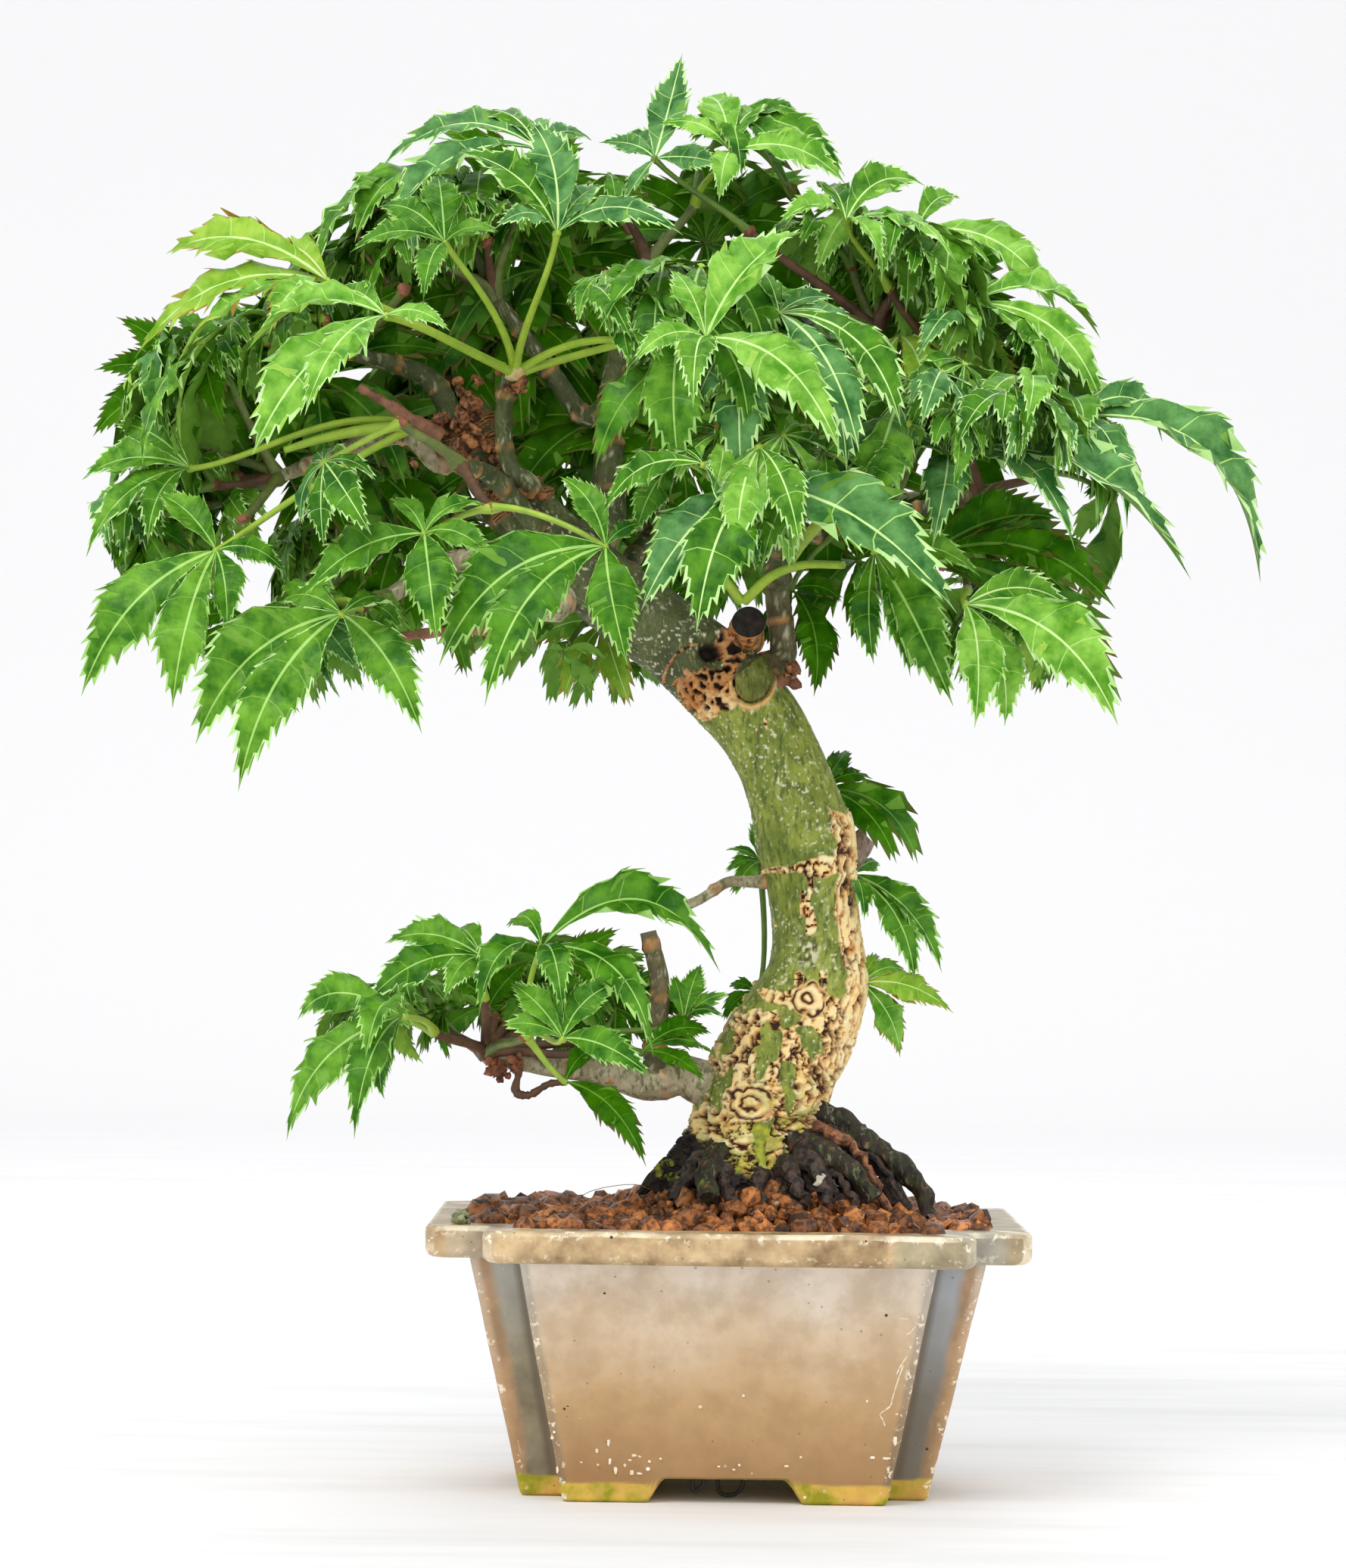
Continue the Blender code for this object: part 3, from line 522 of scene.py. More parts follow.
def glaze_finish():
    """Pot glaze: its height mixes the colours, whitest under the rim partly as a painted sheen;
    rim, recess, foot, edges and specks go over it.  Painted shade darkens the rim's rows low
    inside the mouth, the recesses and a line along their inner corners, a painted blue sheen
    lies in the recesses on the right, and the pale top edge of the rim is wear with a painted
    highlight.

    Fields: height (0 at the feet, 1 under the rim), recess, edge, foot, rim and outer (how
    far out along the pot, 1 at its end).
    """
    def build(wire, place):
        cloudy = wire.noise(place, 60, 5, 0.62)
        uneven = wire.maths("SUBTRACT", cloudy, 0.5)
        level = wire.maths("ADD", wire.field("height"), wire.times(uneven, 0.55))
        colour = wire.mix(wire.span(level, 0.06, 0.42), (158, 118, 72), (190, 154, 108))
        colour = wire.mix(wire.span(level, 0.42, 0.74), colour, (212, 188, 156))
        # The whitest band, under the rim, is partly a painted sheen.
        colour = wire.mix(wire.span(level, 0.74, 1), colour, (232, 220, 204))
        colour = wire.mix(0.3, colour, wire.mottled(colour, (150, 116, 76), 190, 4.5))

        across, _, up = wire.node("SeparateXYZ", {0: place}).outputs
        rim = wire.mix(wire.span(wire.maths("ABSOLUTE", across), 0.0385, 0.0405),
                       wire.mottled((138, 110, 72), (214, 184, 138), 150, 3.4),
                       wire.mottled((122, 110, 80), (182, 168, 134), 150, 3.4))
        # The rim's rows low inside the mouth grow darker further down: painted shade.
        rim = wire.mix(wire.span(up, 0.0402, 0.0391, 0, 0.75), rim, (104, 78, 48))
        colour = wire.mix(wire.field("rim"), colour, rim)

        outer, recess, foot = wire.field("outer"), wire.field("recess"), wire.field("foot")
        # The recesses are painted in shade: grey-brown low, pale grey high.
        shade = wire.mix(wire.span(level, 0.6, 0.95),
                         wire.mottled((112, 104, 80), (150, 140, 112), 120, 4),
                         (182, 182, 172))
        # On the right they take a painted blue sheen: grey low, blue-grey high.
        blue = wire.mix(wire.span(level, 0.35, 0.9), (108, 104, 92), (168, 174, 180))
        shade = wire.mix(wire.span(across, 0, 0.02), shade, blue)
        side = wire.maths("ADD", outer, wire.times(uneven, 0.12))
        shade = wire.mix(wire.span(side, 0.90, 0.94), shade,
                         wire.mottled((188, 146, 104), (150, 118, 80), 140, 4))
        # A painted shadow line runs down the recess beside the front face.
        corner_shadow_line = wire.times(wire.span(outer, 0.842, 0.815, 0, 0.8), wire.span(recess, 0.2, 0.7))
        shade = wire.mix(corner_shadow_line, shade, (88, 76, 56))
        rusty = wire.times(wire.span(outer, 0.985, 0.997), wire.span(recess, 0.1, 0.5))
        shade = wire.mix(rusty, shade, (96, 44, 26))
        colour = wire.mix(wire.times(recess, 0.9), colour, shade)

        algae = wire.use(mottle(), First=(150, 146, 16), Second=(206, 186, 60), Scale=160,
                         Contrast=5)
        clay = wire.mix(wire.maths("SUBTRACT", 1, algae["Amount"]),
                        wire.mottled((226, 182, 84), (196, 152, 80), 260, 2.4), algae["Color"])
        colour = wire.mix(foot, colour, clay)
        edge = wire.field("edge")
        # The rim's top edge is pale: partly wear, partly a painted highlight.
        wear_and_highlight = wire.times(wire.span(edge, 0.80, 0.88),
                            wire.span(wire.noise(place, 160, 3), 0.42, 0.58, 0.15, 0.85))
        colour = wire.mix(wire.times(wear_and_highlight, wire.field("rim")), colour, (240, 226, 196))
        worn = wire.times(edge, wire.span(wire.noise(place, 650, 3, 0.65), 0.57, 0.62))
        colour = wire.mix(worn, colour, (246, 234, 208))

        low = wire.span(wire.field("height"), 0.28, 0.02, 0.01, 0.16)
        breaks = wire.span(wire.noise(place, 90, 2), 0.50, 0.58)
        colour = wire.mix(wire.times(wire.specks(900, 0.22, low), breaks), colour,
                          (246, 236, 214))
        colour = wire.mix(wire.specks(260, 0.07, 0.12), colour, (60, 40, 26))
        dots = wire.times(wire.specks(900, 0.2, 0.06), 0.5)
        colour = wire.mix(dots, colour, (116, 88, 56))
        dull = wire.span(wire.maths("MAXIMUM", worn, foot), 0, 1, 0.34, 0.8)
        return {"Base Color": colour, "Roughness": dull,
                "Height": (wire.rough(160, 0.3), 0.35, 0.0006)}
    return finish("pot_glaze", build, Coat_Roughness=0.3)


# Each bark: skin, a darker skin, cork plates, a darker plate, and the dark of the grooves
# (partly painted shade).  The main limb's bark, which most boughs share, is darkened as
# painted shade from the crown.
BARKS = read_rows("""
bark 156 166 68, 108 126 44, 255 242 190, 254 216 140, 54 24 6
limb_bark 102 108 66, 64 70 42, 226 184 130, 160 110 68, 44 28 20
pale_bark 208 196 164, 140 128 98, 240 214 176, 184 140 104, 58 40 30
brown_bark 128 116 84, 84 76 56, 240 192 130, 178 120 72, 46 30 22
pink_bark 150 128 112, 112 94 84, 200 160 130, 150 110 90, 60 40 34
root 60 48 42, 24 18 16, 150 98 62, 110 72 48, 18 12 10
""")
# Everything else: a paint, a second paint and roughness; then the same for the finer ones.
COARSE = read_rows("""
grain_rust 186 114 56, 78 42 18, 0.34
grain_orange 232 148 78, 122 66 28, 0.36
grain_brown 142 84 38, 54 28 12, 0.34
grain_dark 78 46 24, 34 20 12, 0.7
root_mat 82 64 52, 22 16 14, 0.5
knob 188 124 74, 66 38 24, 0.7
root_cut 176 118 78, 96 60 42, 0.6
moss 88 104 30, 150 150 46, 0.9
lichen 176 178 140, 128 134 92, 0.9
""")
# soil_bed is near black, a painted shade for the gaps between the grains.
FINE = read_rows("""
soil_bed 50 30 18, 24 15 10, 0.9
chip 248 238 216, 226 206 172, 0.8
twig_green 128 142 70, 92 104 58, 0.5
twig_brown 122 86 62, 84 58 44, 0.6
twig_pink 172 120 88, 104 66 46, 0.6
stalk 176 206 66, 150 184 56, 0.4
stalk_shade 112 146 52, 92 124 46, 0.45
bud 176 108 74, 96 52 36, 0.5
pebble 214 206 188, 168 160 140, 0.6
cut_wood 238 226 170, 206 176 112, 0.6
tie_wire 22 22 24, 34 34 36, 0.5
hair 150 140 120, 120 110 96, 0.5
""")


def make_finishes():
    """Every finish of the tree and its pot, by name."""
    FINISHES["glaze"] = glaze_finish()
    for table, scale, contrast, depth in ((COARSE, 800, 5, 0.0013), (FINE, 320, 3, 0.0004)):
        for name, *numbers in table:
            FINISHES[name] = plain_mottled(name, numbers[:3], numbers[3:6], scale, contrast, 1000,
                                           depth, Roughness=numbers[6])
    for name, *numbers in BARKS:
        FINISHES[name] = bark_finish("tree_" + name, *np.reshape(numbers, (5, 3)).tolist())
    for name, *numbers in LEAF_PAINTS:
        FINISHES[name] = plain_mottled(
            name, numbers[:3], numbers[3:], 210, 3.6, 700, 0.00022, Roughness=0.42,
            Specular_IOR_Level=0.05 if name == "leaf_dark" else 0.18)


# ---- pot ----
RIM_HALF = np.array((50.8, 40))
RIM_NOTCH = 10
RIM_TOP = 44.2
RIM_BOTTOM = 38.7
RIM_WIDTH = 7
RIM_INNER_NOTCH = 9.4
WALL_HEIGHT = RIM_BOTTOM + FOOT_DROP
BODY_TOP_HALF = np.array((43.5, 33.5))
BODY_TOP_NOTCH = 8.65
FOOT_HALF = np.array((34.5, 24.5))
FOOT_NOTCH = 7.2
FOOT_HEIGHT = 4.1
FOOT_THICKNESS = 6
POT_UNDER = 3                 # level of the underside between the feet
FRONT_ARCH = (13.5, 10)     # where the openings between the feet begin and are full
SIDE_ARCH = (7.5, 5)
DRAIN_RADIUS = 4.5
SIDE_STEPS = (8, 8, 76, 8, 8, 54) * 2       # columns along each side, two to a notch
BEND_STEPS = 6                # columns round each upright edge


def notched_outlines(half, notch, bend):
    """Rows of a rectangle with a notch in each corner, and masks of its notches and edges.

    Every upright edge is a quarter circle: corner - r in (1 - sin a) + r out (1 - cos a).
    """
    half = np.asarray(half, dtype=float).reshape(-1, 2)
    notch, bend = (np.broadcast_to(value, len(half)) for value in (notch, bend))
    corners, outer = [], []
    for turn, (sx, sy) in enumerate(((1, 1), (-1, 1), (-1, -1), (1, -1))):
        for in_x, in_y in ((0, 1), (1, 1), (1, 0))[::1 if turn % 2 == 0 else -1]:
            corners.append((sx * (half[:, 0] - in_x * notch), sy * (half[:, 1] - in_y * notch)))
            outer.append(in_x + in_y == 1)
    corners = np.array(corners).transpose(2, 0, 1)
    before = unit(corners - np.roll(corners, 1, axis=1))
    after = unit(np.roll(corners, -1, axis=1) - corners)
    angle = np.linspace(0, math.pi / 2, BEND_STEPS)
    radius = bend[:, None, None, None]
    arcs = (corners[:, :, None] - radius * before[:, :, None] * (1 - np.sin(angle))[:, None]
            + radius * after[:, :, None] * (1 - np.cos(angle))[:, None])
    rows, notches, edges = [], [], []
    for k, count in enumerate(SIDE_STEPS):
        start, end = arcs[:, k, -1], arcs[:, (k + 1) % 12, 0]
        t = (np.arange(1, count) / count)[:, None]
        rows += [arcs[:, k], between(start[:, None], end[:, None], t)]
        notches += [np.full(BEND_STEPS, 1.0 - 0.5 * outer[k]),
                    np.full(count - 1, float(count == SIDE_STEPS[0]))]
        edges += [np.full(BEND_STEPS, float(outer[k])), np.zeros(count - 1)]
    return np.concatenate(rows, axis=1), np.concatenate(notches), np.concatenate(edges)


def raised(points, heights):
    """Outlines with their heights beside them."""
    return np.dstack([points, np.broadcast_to(heights, points.shape[:2])])


def foot_lift(points):
    """Height of the bottom edge: FOOT_HEIGHT between the feet, sloping at the ends."""
    across, deep = np.abs(points[..., 0]), np.abs(points[..., 1])
    return FOOT_HEIGHT * np.maximum(ease(*FRONT_ARCH, across), ease(*SIDE_ARCH, deep)) - FOOT_DROP


def pot_wall(height):
    """Half sizes and notch of the wall at a height, straight from foot to rim."""
    part = (np.asarray(height, dtype=float)[:, None] + FOOT_DROP) / WALL_HEIGHT
    half = FOOT_HALF + (BODY_TOP_HALF - FOOT_HALF) * part
    return half, FOOT_NOTCH + (BODY_TOP_NOTCH - FOOT_NOTCH) * part[:, 0]


def make_pot():
    """The pot as one closed skin: drain, underside, feet, wall, rim and inside.

    Each row is a notched outline; those underneath are blended from a circle round the drain,
    and the lowest of the wall rise between the feet.
    """
    rows = {}

    def keep(points, heights, notches, edges=0, foot=0, rim=0, least=0):
        """Adds rows of outline points at heights, with their fields."""
        across = np.abs(points[..., 0])
        fields = {"height": np.clip((heights + FOOT_DROP) / WALL_HEIGHT, 0, 1),
                  "recess": notches, "edge": np.maximum(edges, least), "foot": foot, "rim": rim,
                  "outer": across / np.max(across, axis=1, keepdims=True)}
        for name, value in fields.items():
            rows.setdefault(name, []).append(np.broadcast_to(value, across.shape))
        rows.setdefault("place", []).append(raised(points, heights))

    recess, notches, _ = notched_outlines(FOOT_HALF - FOOT_THICKNESS, FOOT_NOTCH, 0.8)
    round_way = unit(recess)
    for radius, height in ((0.05, 9), (DRAIN_RADIUS, 9), (DRAIN_RADIUS, 5),
                           (DRAIN_RADIUS + 0.4, POT_UNDER)):
        keep(round_way * radius, height, notches, foot=1)
    for part in (0.35, 0.7, 0.97):
        keep(round_way * DRAIN_RADIUS + (recess - round_way * DRAIN_RADIUS) * part, POT_UNDER,
             notches, foot=1)
    for part in (0.15, 0.6, 0.96):
        keep(recess, POT_UNDER + (foot_lift(recess) + 0.05 - POT_UNDER) * part, notches, foot=1)
    under, notches, _ = notched_outlines(FOOT_HALF - [[5.6], [3], [0.6]],
                                         FOOT_NOTCH, 0.9)
    keep(under, foot_lift(under), notches, foot=1)

    part = np.concatenate([np.linspace(0.012, 0.10, 12), np.linspace(0.115, 0.995, 62)])
    wall, notches, edges = notched_outlines(*pot_wall(part * WALL_HEIGHT - FOOT_DROP), 1.1)
    part = part[:, None]
    lift = foot_lift(wall)
    height = lift + (RIM_BOTTOM - lift) * part
    widening = BODY_TOP_HALF[0] - FOOT_HALF[0]
    scale = (FOOT_HALF[0] + widening * (height + FOOT_DROP) / WALL_HEIGHT) \
        / (FOOT_HALF[0] + widening * part)
    wall = wall * scale[..., None]
    place = raised(wall, height)
    dent = (layered(place, 16, 3, 5) - 0.5) * 0.55
    clay_line = 3.6 - FOOT_DROP + 1.8 * (layered(place, 9, 3, 8) - 0.5)
    keep(wall + unit(wall) * dent[..., None], height, notches, edges * 0.8,
         foot=1 - ease(-0.2, 0.2, height - clay_line))

    def rim_rows(insets, heights, worn, notch=RIM_NOTCH):
        """Rows of the rim at insets from its outside, worn at least so much."""
        insets, heights, worn = (value[:, None] for value in
                                 np.broadcast_arrays(insets, heights, worn))
        outline, notches, edges = notched_outlines(RIM_HALF - insets, notch, 1.5)
        uneven = layered(raised(outline, heights), 11, 3, 9) - 0.5
        keep(outline, heights + uneven * 0.5 * worn, notches * 0.35, edges * 0.9, rim=1,
             least=worn)

    turn = np.linspace(0, math.pi / 2, 5)
    face = np.linspace(0.1, 0.9, 10)
    rim_rows([5.9, 4.4, 3], RIM_BOTTOM + 0.05, 0)
    rim_rows(1.9 - 1.9 * np.sin(turn), RIM_BOTTOM + 1.6 - 1.6 * np.cos(turn), 0.35)
    rim_rows(0, RIM_BOTTOM + 1.6 + (RIM_TOP - RIM_BOTTOM - 2.4) * face,
             0.55 * ease(0.5, 1, face))
    rim_rows(0.8 - 0.8 * np.cos(turn), RIM_TOP - 0.8 + 0.8 * np.sin(turn), 0.9)
    rim_rows(0.8 + (RIM_WIDTH - 0.8) * np.linspace(0.15, 0.9, 8), RIM_TOP, 0.25)
    turn = turn[1:]
    rim_rows(RIM_WIDTH + 0.8 * np.sin(turn), RIM_TOP - 0.8 + 0.8 * np.cos(turn), 0.5,
             RIM_INNER_NOTCH)
    rim_rows(RIM_WIDTH + 1.4, RIM_TOP - np.array((1.8, 3, 5, 7)), 0.1, RIM_INNER_NOTCH)
    inside, notches, _ = notched_outlines(RIM_HALF - RIM_WIDTH - 1.4,
                                          RIM_INNER_NOTCH, 0.9)
    for part in (0.6, 0.2, 0.002):
        keep(inside * part, RIM_TOP - 7.2, notches, rim=1)

    fields = {name: np.concatenate(parts, axis=0) for name, parts in rows.items()}
    grid = fields.pop("place")
    stock = Stock()
    stock.add(grid, grid_faces(*grid.shape[:2]), **fields)
    stock.piece("pot_body", "glaze", "glaze", ["pot"], smooth=50)


# ---- soil ----
SOIL_EDGE_TOP = 43.3
SOIL_MOUND_TOP = 48.9
MOUND_CENTRE = np.array((3.5, 0))
MOUND_SLOPE = (10, 33)      # from the flat top to the foot of the mound
BED_BELOW = 2.2                 # how far the bed lies under the grains' middles
BED_FLOOR = RIM_TOP - 7
GRAINS = 1300
CRUMBS = 500


def mound_height(x, y):
    """Height of the soil: full near the trunk, falling smoothly over MOUND_SLOPE."""
    edge = np.maximum(np.abs(x) / (RIM_HALF[0] - 8), np.abs(y) / (RIM_HALF[1] - 8))
    away = np.hypot(x - MOUND_CENTRE[0], y - MOUND_CENTRE[1])
    rise = (1 - ease(*MOUND_SLOPE, away)) * (1 - 0.75 * ease(0.72, 1, edge))
    return SOIL_EDGE_TOP + (SOIL_MOUND_TOP - SOIL_EDGE_TOP) * rise


def in_mouth(x, y, margin):
    """True inside the pot's notched mouth, drawn in by a margin."""
    half = RIM_HALF - RIM_WIDTH - margin
    notched = (np.abs(x) > half[0] - RIM_INNER_NOTCH) & (np.abs(y) > half[1] - RIM_INNER_NOTCH)
    return (np.abs(x) < half[0]) & (np.abs(y) < half[1]) & ~notched


def lump_template():
    """A cube's faces split in four and rounded: 26 points and 24 quads."""
    grid = np.array([(i, j, k) for i in (-1, 0, 1) for j in (-1, 0, 1) for k in (-1, 0, 1)
                     if max(abs(i), abs(j), abs(k)) == 1], dtype=float)
    index = {tuple(point): n for n, point in enumerate(grid.astype(int))}
    quads = []
    for axis in range(3):
        for side in (-1, 1):
            for a, b in ((-1, -1), (-1, 0), (0, -1), (0, 0)):
                ring = [index[tuple(np.roll((side, a + da, b + db), axis))]
                        for da, db in ((0, 0), (1, 0), (1, 1), (0, 1))]
                quads.append(ring[::side])
    return unit(grid) * 0.75 + grid * 0.22, np.array(quads)


LUMP_POINTS, LUMP_QUADS = lump_template()


def random_turns(count, draw):
    """Random rotations, as matrices, from random unit quaternions."""
    w, x, y, z = unit(draw.normal(size=(count, 4))).T
    return np.array([[1 - 2 * (y * y + z * z), 2 * (x * y - z * w), 2 * (x * z + y * w)],
                     [2 * (x * y + z * w), 1 - 2 * (x * x + z * z), 2 * (y * z - x * w)],
                     [2 * (x * z - y * w), 2 * (y * z + x * w), 1 - 2 * (x * x + y * y)]]
                    ).transpose(2, 0, 1)


def add_lumps(stock, centres, sizes, kinds, draw, flatness=(0.6, 1), uneven=0.22):
    """Uneven lumps: turned and stretched copies of the template."""
    count = len(centres)
    stretch = draw.uniform(*flatness, size=(count, 1, 3))
    shape = LUMP_POINTS[None] * (1 + draw.uniform(-uneven, uneven, (count, 26, 1))) * stretch
    turned = np.einsum("nij,npj->npi", random_turns(count, draw), shape)
    points = centres[:, None] + turned * np.broadcast_to(sizes, count)[:, None, None]
    quads = LUMP_QUADS[None] + (np.arange(count) * 26)[:, None, None]
    stock.add(points, quads.reshape(-1, 4), np.repeat(np.broadcast_to(kinds, count), 24))


def make_soil():
    """A bed of rows drawn in from the wall, in a near-black finish as painted shade between the
    grains, and grains scattered over it.
    """
    draw = np.random.default_rng(11)
    outline = notched_outlines(RIM_HALF - RIM_WIDTH - 1, RIM_INNER_NOTCH, 0.9)[0]
    part = np.concatenate([[1, 1], np.linspace(0.985, 0.01, 40)])[:, None, None]
    level = between(MOUND_CENTRE, outline, part)
    height = mound_height(level[..., 0], level[..., 1]) - BED_BELOW
    height = height + (layered(raised(level, height), 4, 3, 3) - 0.5) * 2.6
    height[0] = BED_FLOOR
    bed = Stock()
    grid = raised(level, height)
    bed.add(grid, grid_faces(*grid.shape[:2]))
    closing = np.stack([raised(outline * 0.01, BED_FLOOR)[0], grid[0]])
    bed.add(closing, grid_faces(2, grid.shape[1]))
    bed.piece("soil_bed", "soil_bed", "soil", ["soil"])

    spots = draw.uniform((-44, -34), (44, 34), (40000, 2))
    spots = spots[in_mouth(spots[:, 0], spots[:, 1], 0.5)]
    kept, sizes = [], []
    for spot in spots:
        size = float(np.clip(draw.normal(1.95, 0.5), 1.1, 3.2))
        if kept and np.any(np.hypot(*(np.array(kept) - spot).T) < 0.70 * (np.array(sizes) + size)):
            continue
        kept.append(spot)
        sizes.append(size)
        if len(kept) >= GRAINS:
            break
    kept, sizes = np.array(kept), np.array(sizes)
    height = mound_height(kept[:, 0], kept[:, 1]) + draw.uniform(-0.9, 1.2, len(kept))
    middles = np.column_stack([kept, height])
    grains = Stock()
    kinds = draw.choice(4, len(kept), p=(0.43, 0.20, 0.29, 0.08))
    add_lumps(grains, middles, sizes, kinds, draw, (0.8, 1.15), 0.26)
    stuck = draw.integers(len(kept), size=CRUMBS)
    way = unit(draw.normal(size=(CRUMBS, 3)) + 0.7 * UP - np.array((0, 0.5, 0)))
    place = middles[stuck] + way * sizes[stuck][:, None] * 0.78
    place = place[in_mouth(place[:, 0], place[:, 1], 0.3)]
    add_lumps(grains, place, draw.uniform(0.35, 0.75, len(place)), draw.integers(0, 3, len(place)),
              draw, (0.7, 1), 0.3)
    grains.piece("soil_grains", "grain_rust grain_orange grain_brown grain_dark", "soil",
                 smooth=70)


# Marks on the front: middle (x, z), half width and half height; then scratch lines (x, z).
CHIPS = read_points("""
-28.8 9.7 0.28 0.25, -29.1 8.7 0.35 0.25, -24.4 12.3 0.2 0.25, -19.7 8.2 0.3 0.8
-21.6 6.6 0.3 0.45, -15.3 5.9 0.5 0.3, -14.4 5.7 0.35 0.2, -19.4 4.8 0.28 0.6
-18.4 3.3 0.35 0.8, -16.9 4.2 0.28 0.35, -16.0 5.1 0.35 0.2, -15.7 3.0 0.4 0.45
-14.4 2.8 0.55 0.2, -13.0 3.6 0.45 0.35, -12.8 4.9 0.28 0.25, -10.9 5.4 0.25 0.2
-24.2 4.6 0.25 0.15, -21.4 4.2 0.2 0.2, -28.2 3.2 0.25 0.6, -4.4 14.4 0.35 0.3
2.8 16.4 0.28 0.25, -1.1 4.2 0.3 0.18, 2.3 4.5 0.3 0.25, 1.4 3.7 0.3 0.18
10.2 4.4 0.4 0.25, 12.6 6.0 0.25 0.25, 28.3 9.5 0.42 1.3, 27.0 6.0 0.85 0.25
24.6 6.1 0.45 0.3, 27.3 4.1 0.25 0.35, 28.5 13.7 0.3 0.35, 23.5 15.8 0.2 0.35
31.6 26.6 0.25 0.2, 29.4 29.9 0.75 0.15, 32.4 30.2 0.2 0.65, 30.5 25.0 0.3 0.3
""", 4)
PITS = read_points("-27.1 13.9 0.3 0.45, -26.6 14.3 0.35 0.25, -20.6 33.5 0.25 0.22", 4)
SCRATCHES = ("31.3 28.7, 30.4 27.6, 29.7 27.1", "30 23.5, 29.1 22.1, 28.3 20.4",
             "29.4 22, 28.4 18.8, 27.7 16.2, 27.4 15, 25.7 13.5, 26.1 12.8, 26.6 11.6")


def front_of_pot(x, z):
    """Points on the front of the pot's wall at x and z."""
    half, _ = pot_wall(np.atleast_1d(z))
    return np.column_stack([np.atleast_1d(x), -half[:, 1], np.atleast_1d(z)])


def make_marks():
    """Chips and pits as flat lumps on the wall, and scratches as thin lines."""
    draw = np.random.default_rng(17)
    marks = Stock()
    for look, places in enumerate((CHIPS, PITS)):
        for x, z, wide, high in places:
            shape = LUMP_POINTS * draw.uniform(0.7, 1.15, (26, 1)) * (wide, 0.10, high)
            marks.add(front_of_pot(x, z) + shape, LUMP_QUADS, look)
    for line in SCRATCHES:
        points = front_of_pot(*read_points(line, 2).T)
        path = even_path(np.column_stack([points, np.full(len(points), 0.13)]), 0.35)
        path[:, 3] *= draw.uniform(0.5, 1.5, len(path))
        marks.add_tube(path, 6)
    marks.piece("pot_chips", "chip grain_dark", "glaze")


# ---- trunk and boughs ----
# Paths are points (x, y, z, radius).
GAP = 0.35
TRUNK = read_points("""
3.2 0 49.95 12.8, 3.8 0 56 10.9, 5.6 0.5 63.5 10.6, 8.4 1 71 10.4, 11.9 1.5 78 9.8, 14.7 1.5 85 9
14.9 1 91.5 7.8, 14.3 0.5 98 7.5, 13.7 0 104.5 8, 12.5 0 111 8.4, 10.5 0 117.5 7.6, 7.8 0 124 7.3
4 0 130.5 7.5, -1.5 0 136.8 7.7
""", 4)
MAIN_LIMB = read_points("""
-9.6 -0.5 143.7 7.2, -18.9 -1 150.1 6.8, -28.3 -2 157.9 6.2, -34.3 -3 163.8 5.4, -37.9 -3 168.1 5
-42.3 -3 172 4.6, -44.7 -3 176.2 4.3, -46.8 -3 181.4 4.3, -48.2 -3 184.4 3.9
""", 4)
# Each bough: the limb that carries it, how far along it leaves, and its path.
BOUGHS = {name: (parent, part, np.reshape(points, (-1, 4)))
          for name, parent, part, *points in read_rows("""
right_stem trunk 0.97, 7.3 0 154 2.1, 9.9 0 167.7 1.9, 18 0 182 1.6, 24 0 199 1.2
cut_shoot main_limb 0.71, -39.3 -9.3 173.5 1.6, -40.5 -8.6 184.2 1.5, -38.8 -9 190.9 1.9
bough_apex main_limb 0.5, -22.5 6 173 2.8, -22 8 190 2.1, -16 4 211 1.2
bough_top_left bough_apex 0.45, -33 8 192 1.6, -43 6 205 1.1
bough_upper_left main_limb 0.96, -54 6 190 1.8, -68 0 194 1.2
bough_left main_limb 0.89, -56.9 -4.5 179.3 2, -68 -3 176.5 1.5, -80 1 172 1.1
bough_left_low main_limb 0.46, -38 -6 156 2.2, -49 -8 157 1.9, -60 -10 150.5 1.3
bough_left_back main_limb 0.62, -46 12 168 1.8, -58 24 163 1.2
bough_front_left main_limb 0.64, -42 -16 171 1.6, -47 -25 172 1.1
bough_front_upper bough_apex 0.54, -19 -4 190 1.5, -15 -19 193 1
bough_back_upper bough_apex 0.6, -18 16 192 1.4, -11 23 195 1
bough_back_left bough_top_left 0.45, -39 15 193 1.2, -45 24 193 0.9
bough_back_centre main_limb 0.34, -19 16 158 1.9, -15 33 166 1.2
bough_right right_stem 0.4, 24 -1 166 1.5, 42 -4 170 1.1
bough_right_low bough_right 0.55, 35 1 161 1.1, 41 3 157.5 0.9
bough_upper_right right_stem 0.72, 30 2 187 1.3, 37 2 190.5 1
bough_front_centre right_stem 0.25, 7 -16 161 1.5, 3 -31 166 1.1
bough_front_right right_stem 0.5, 20 -12 175 1.3, 30 -20 178 1
bough_right_back right_stem 0.47, 19 14 172 1.4, 33 26 172 1
low_bough trunk 0.155, -13.8 -1.5 67.3 3, -22 -3 69.2 2.2, -32 -4.5 70.2 1.7, -42 -6 72 1.2
low_upright low_bough 0.2, -12.2 -1 84.3 1.7, -14.4 -1 93.5 1.4
thin_twig trunk 0.6, -0.6 -0.5 102.3 0.9, -5.5 -1 99.2 0.8, -11.2 -1.5 96.9 0.9
""")}
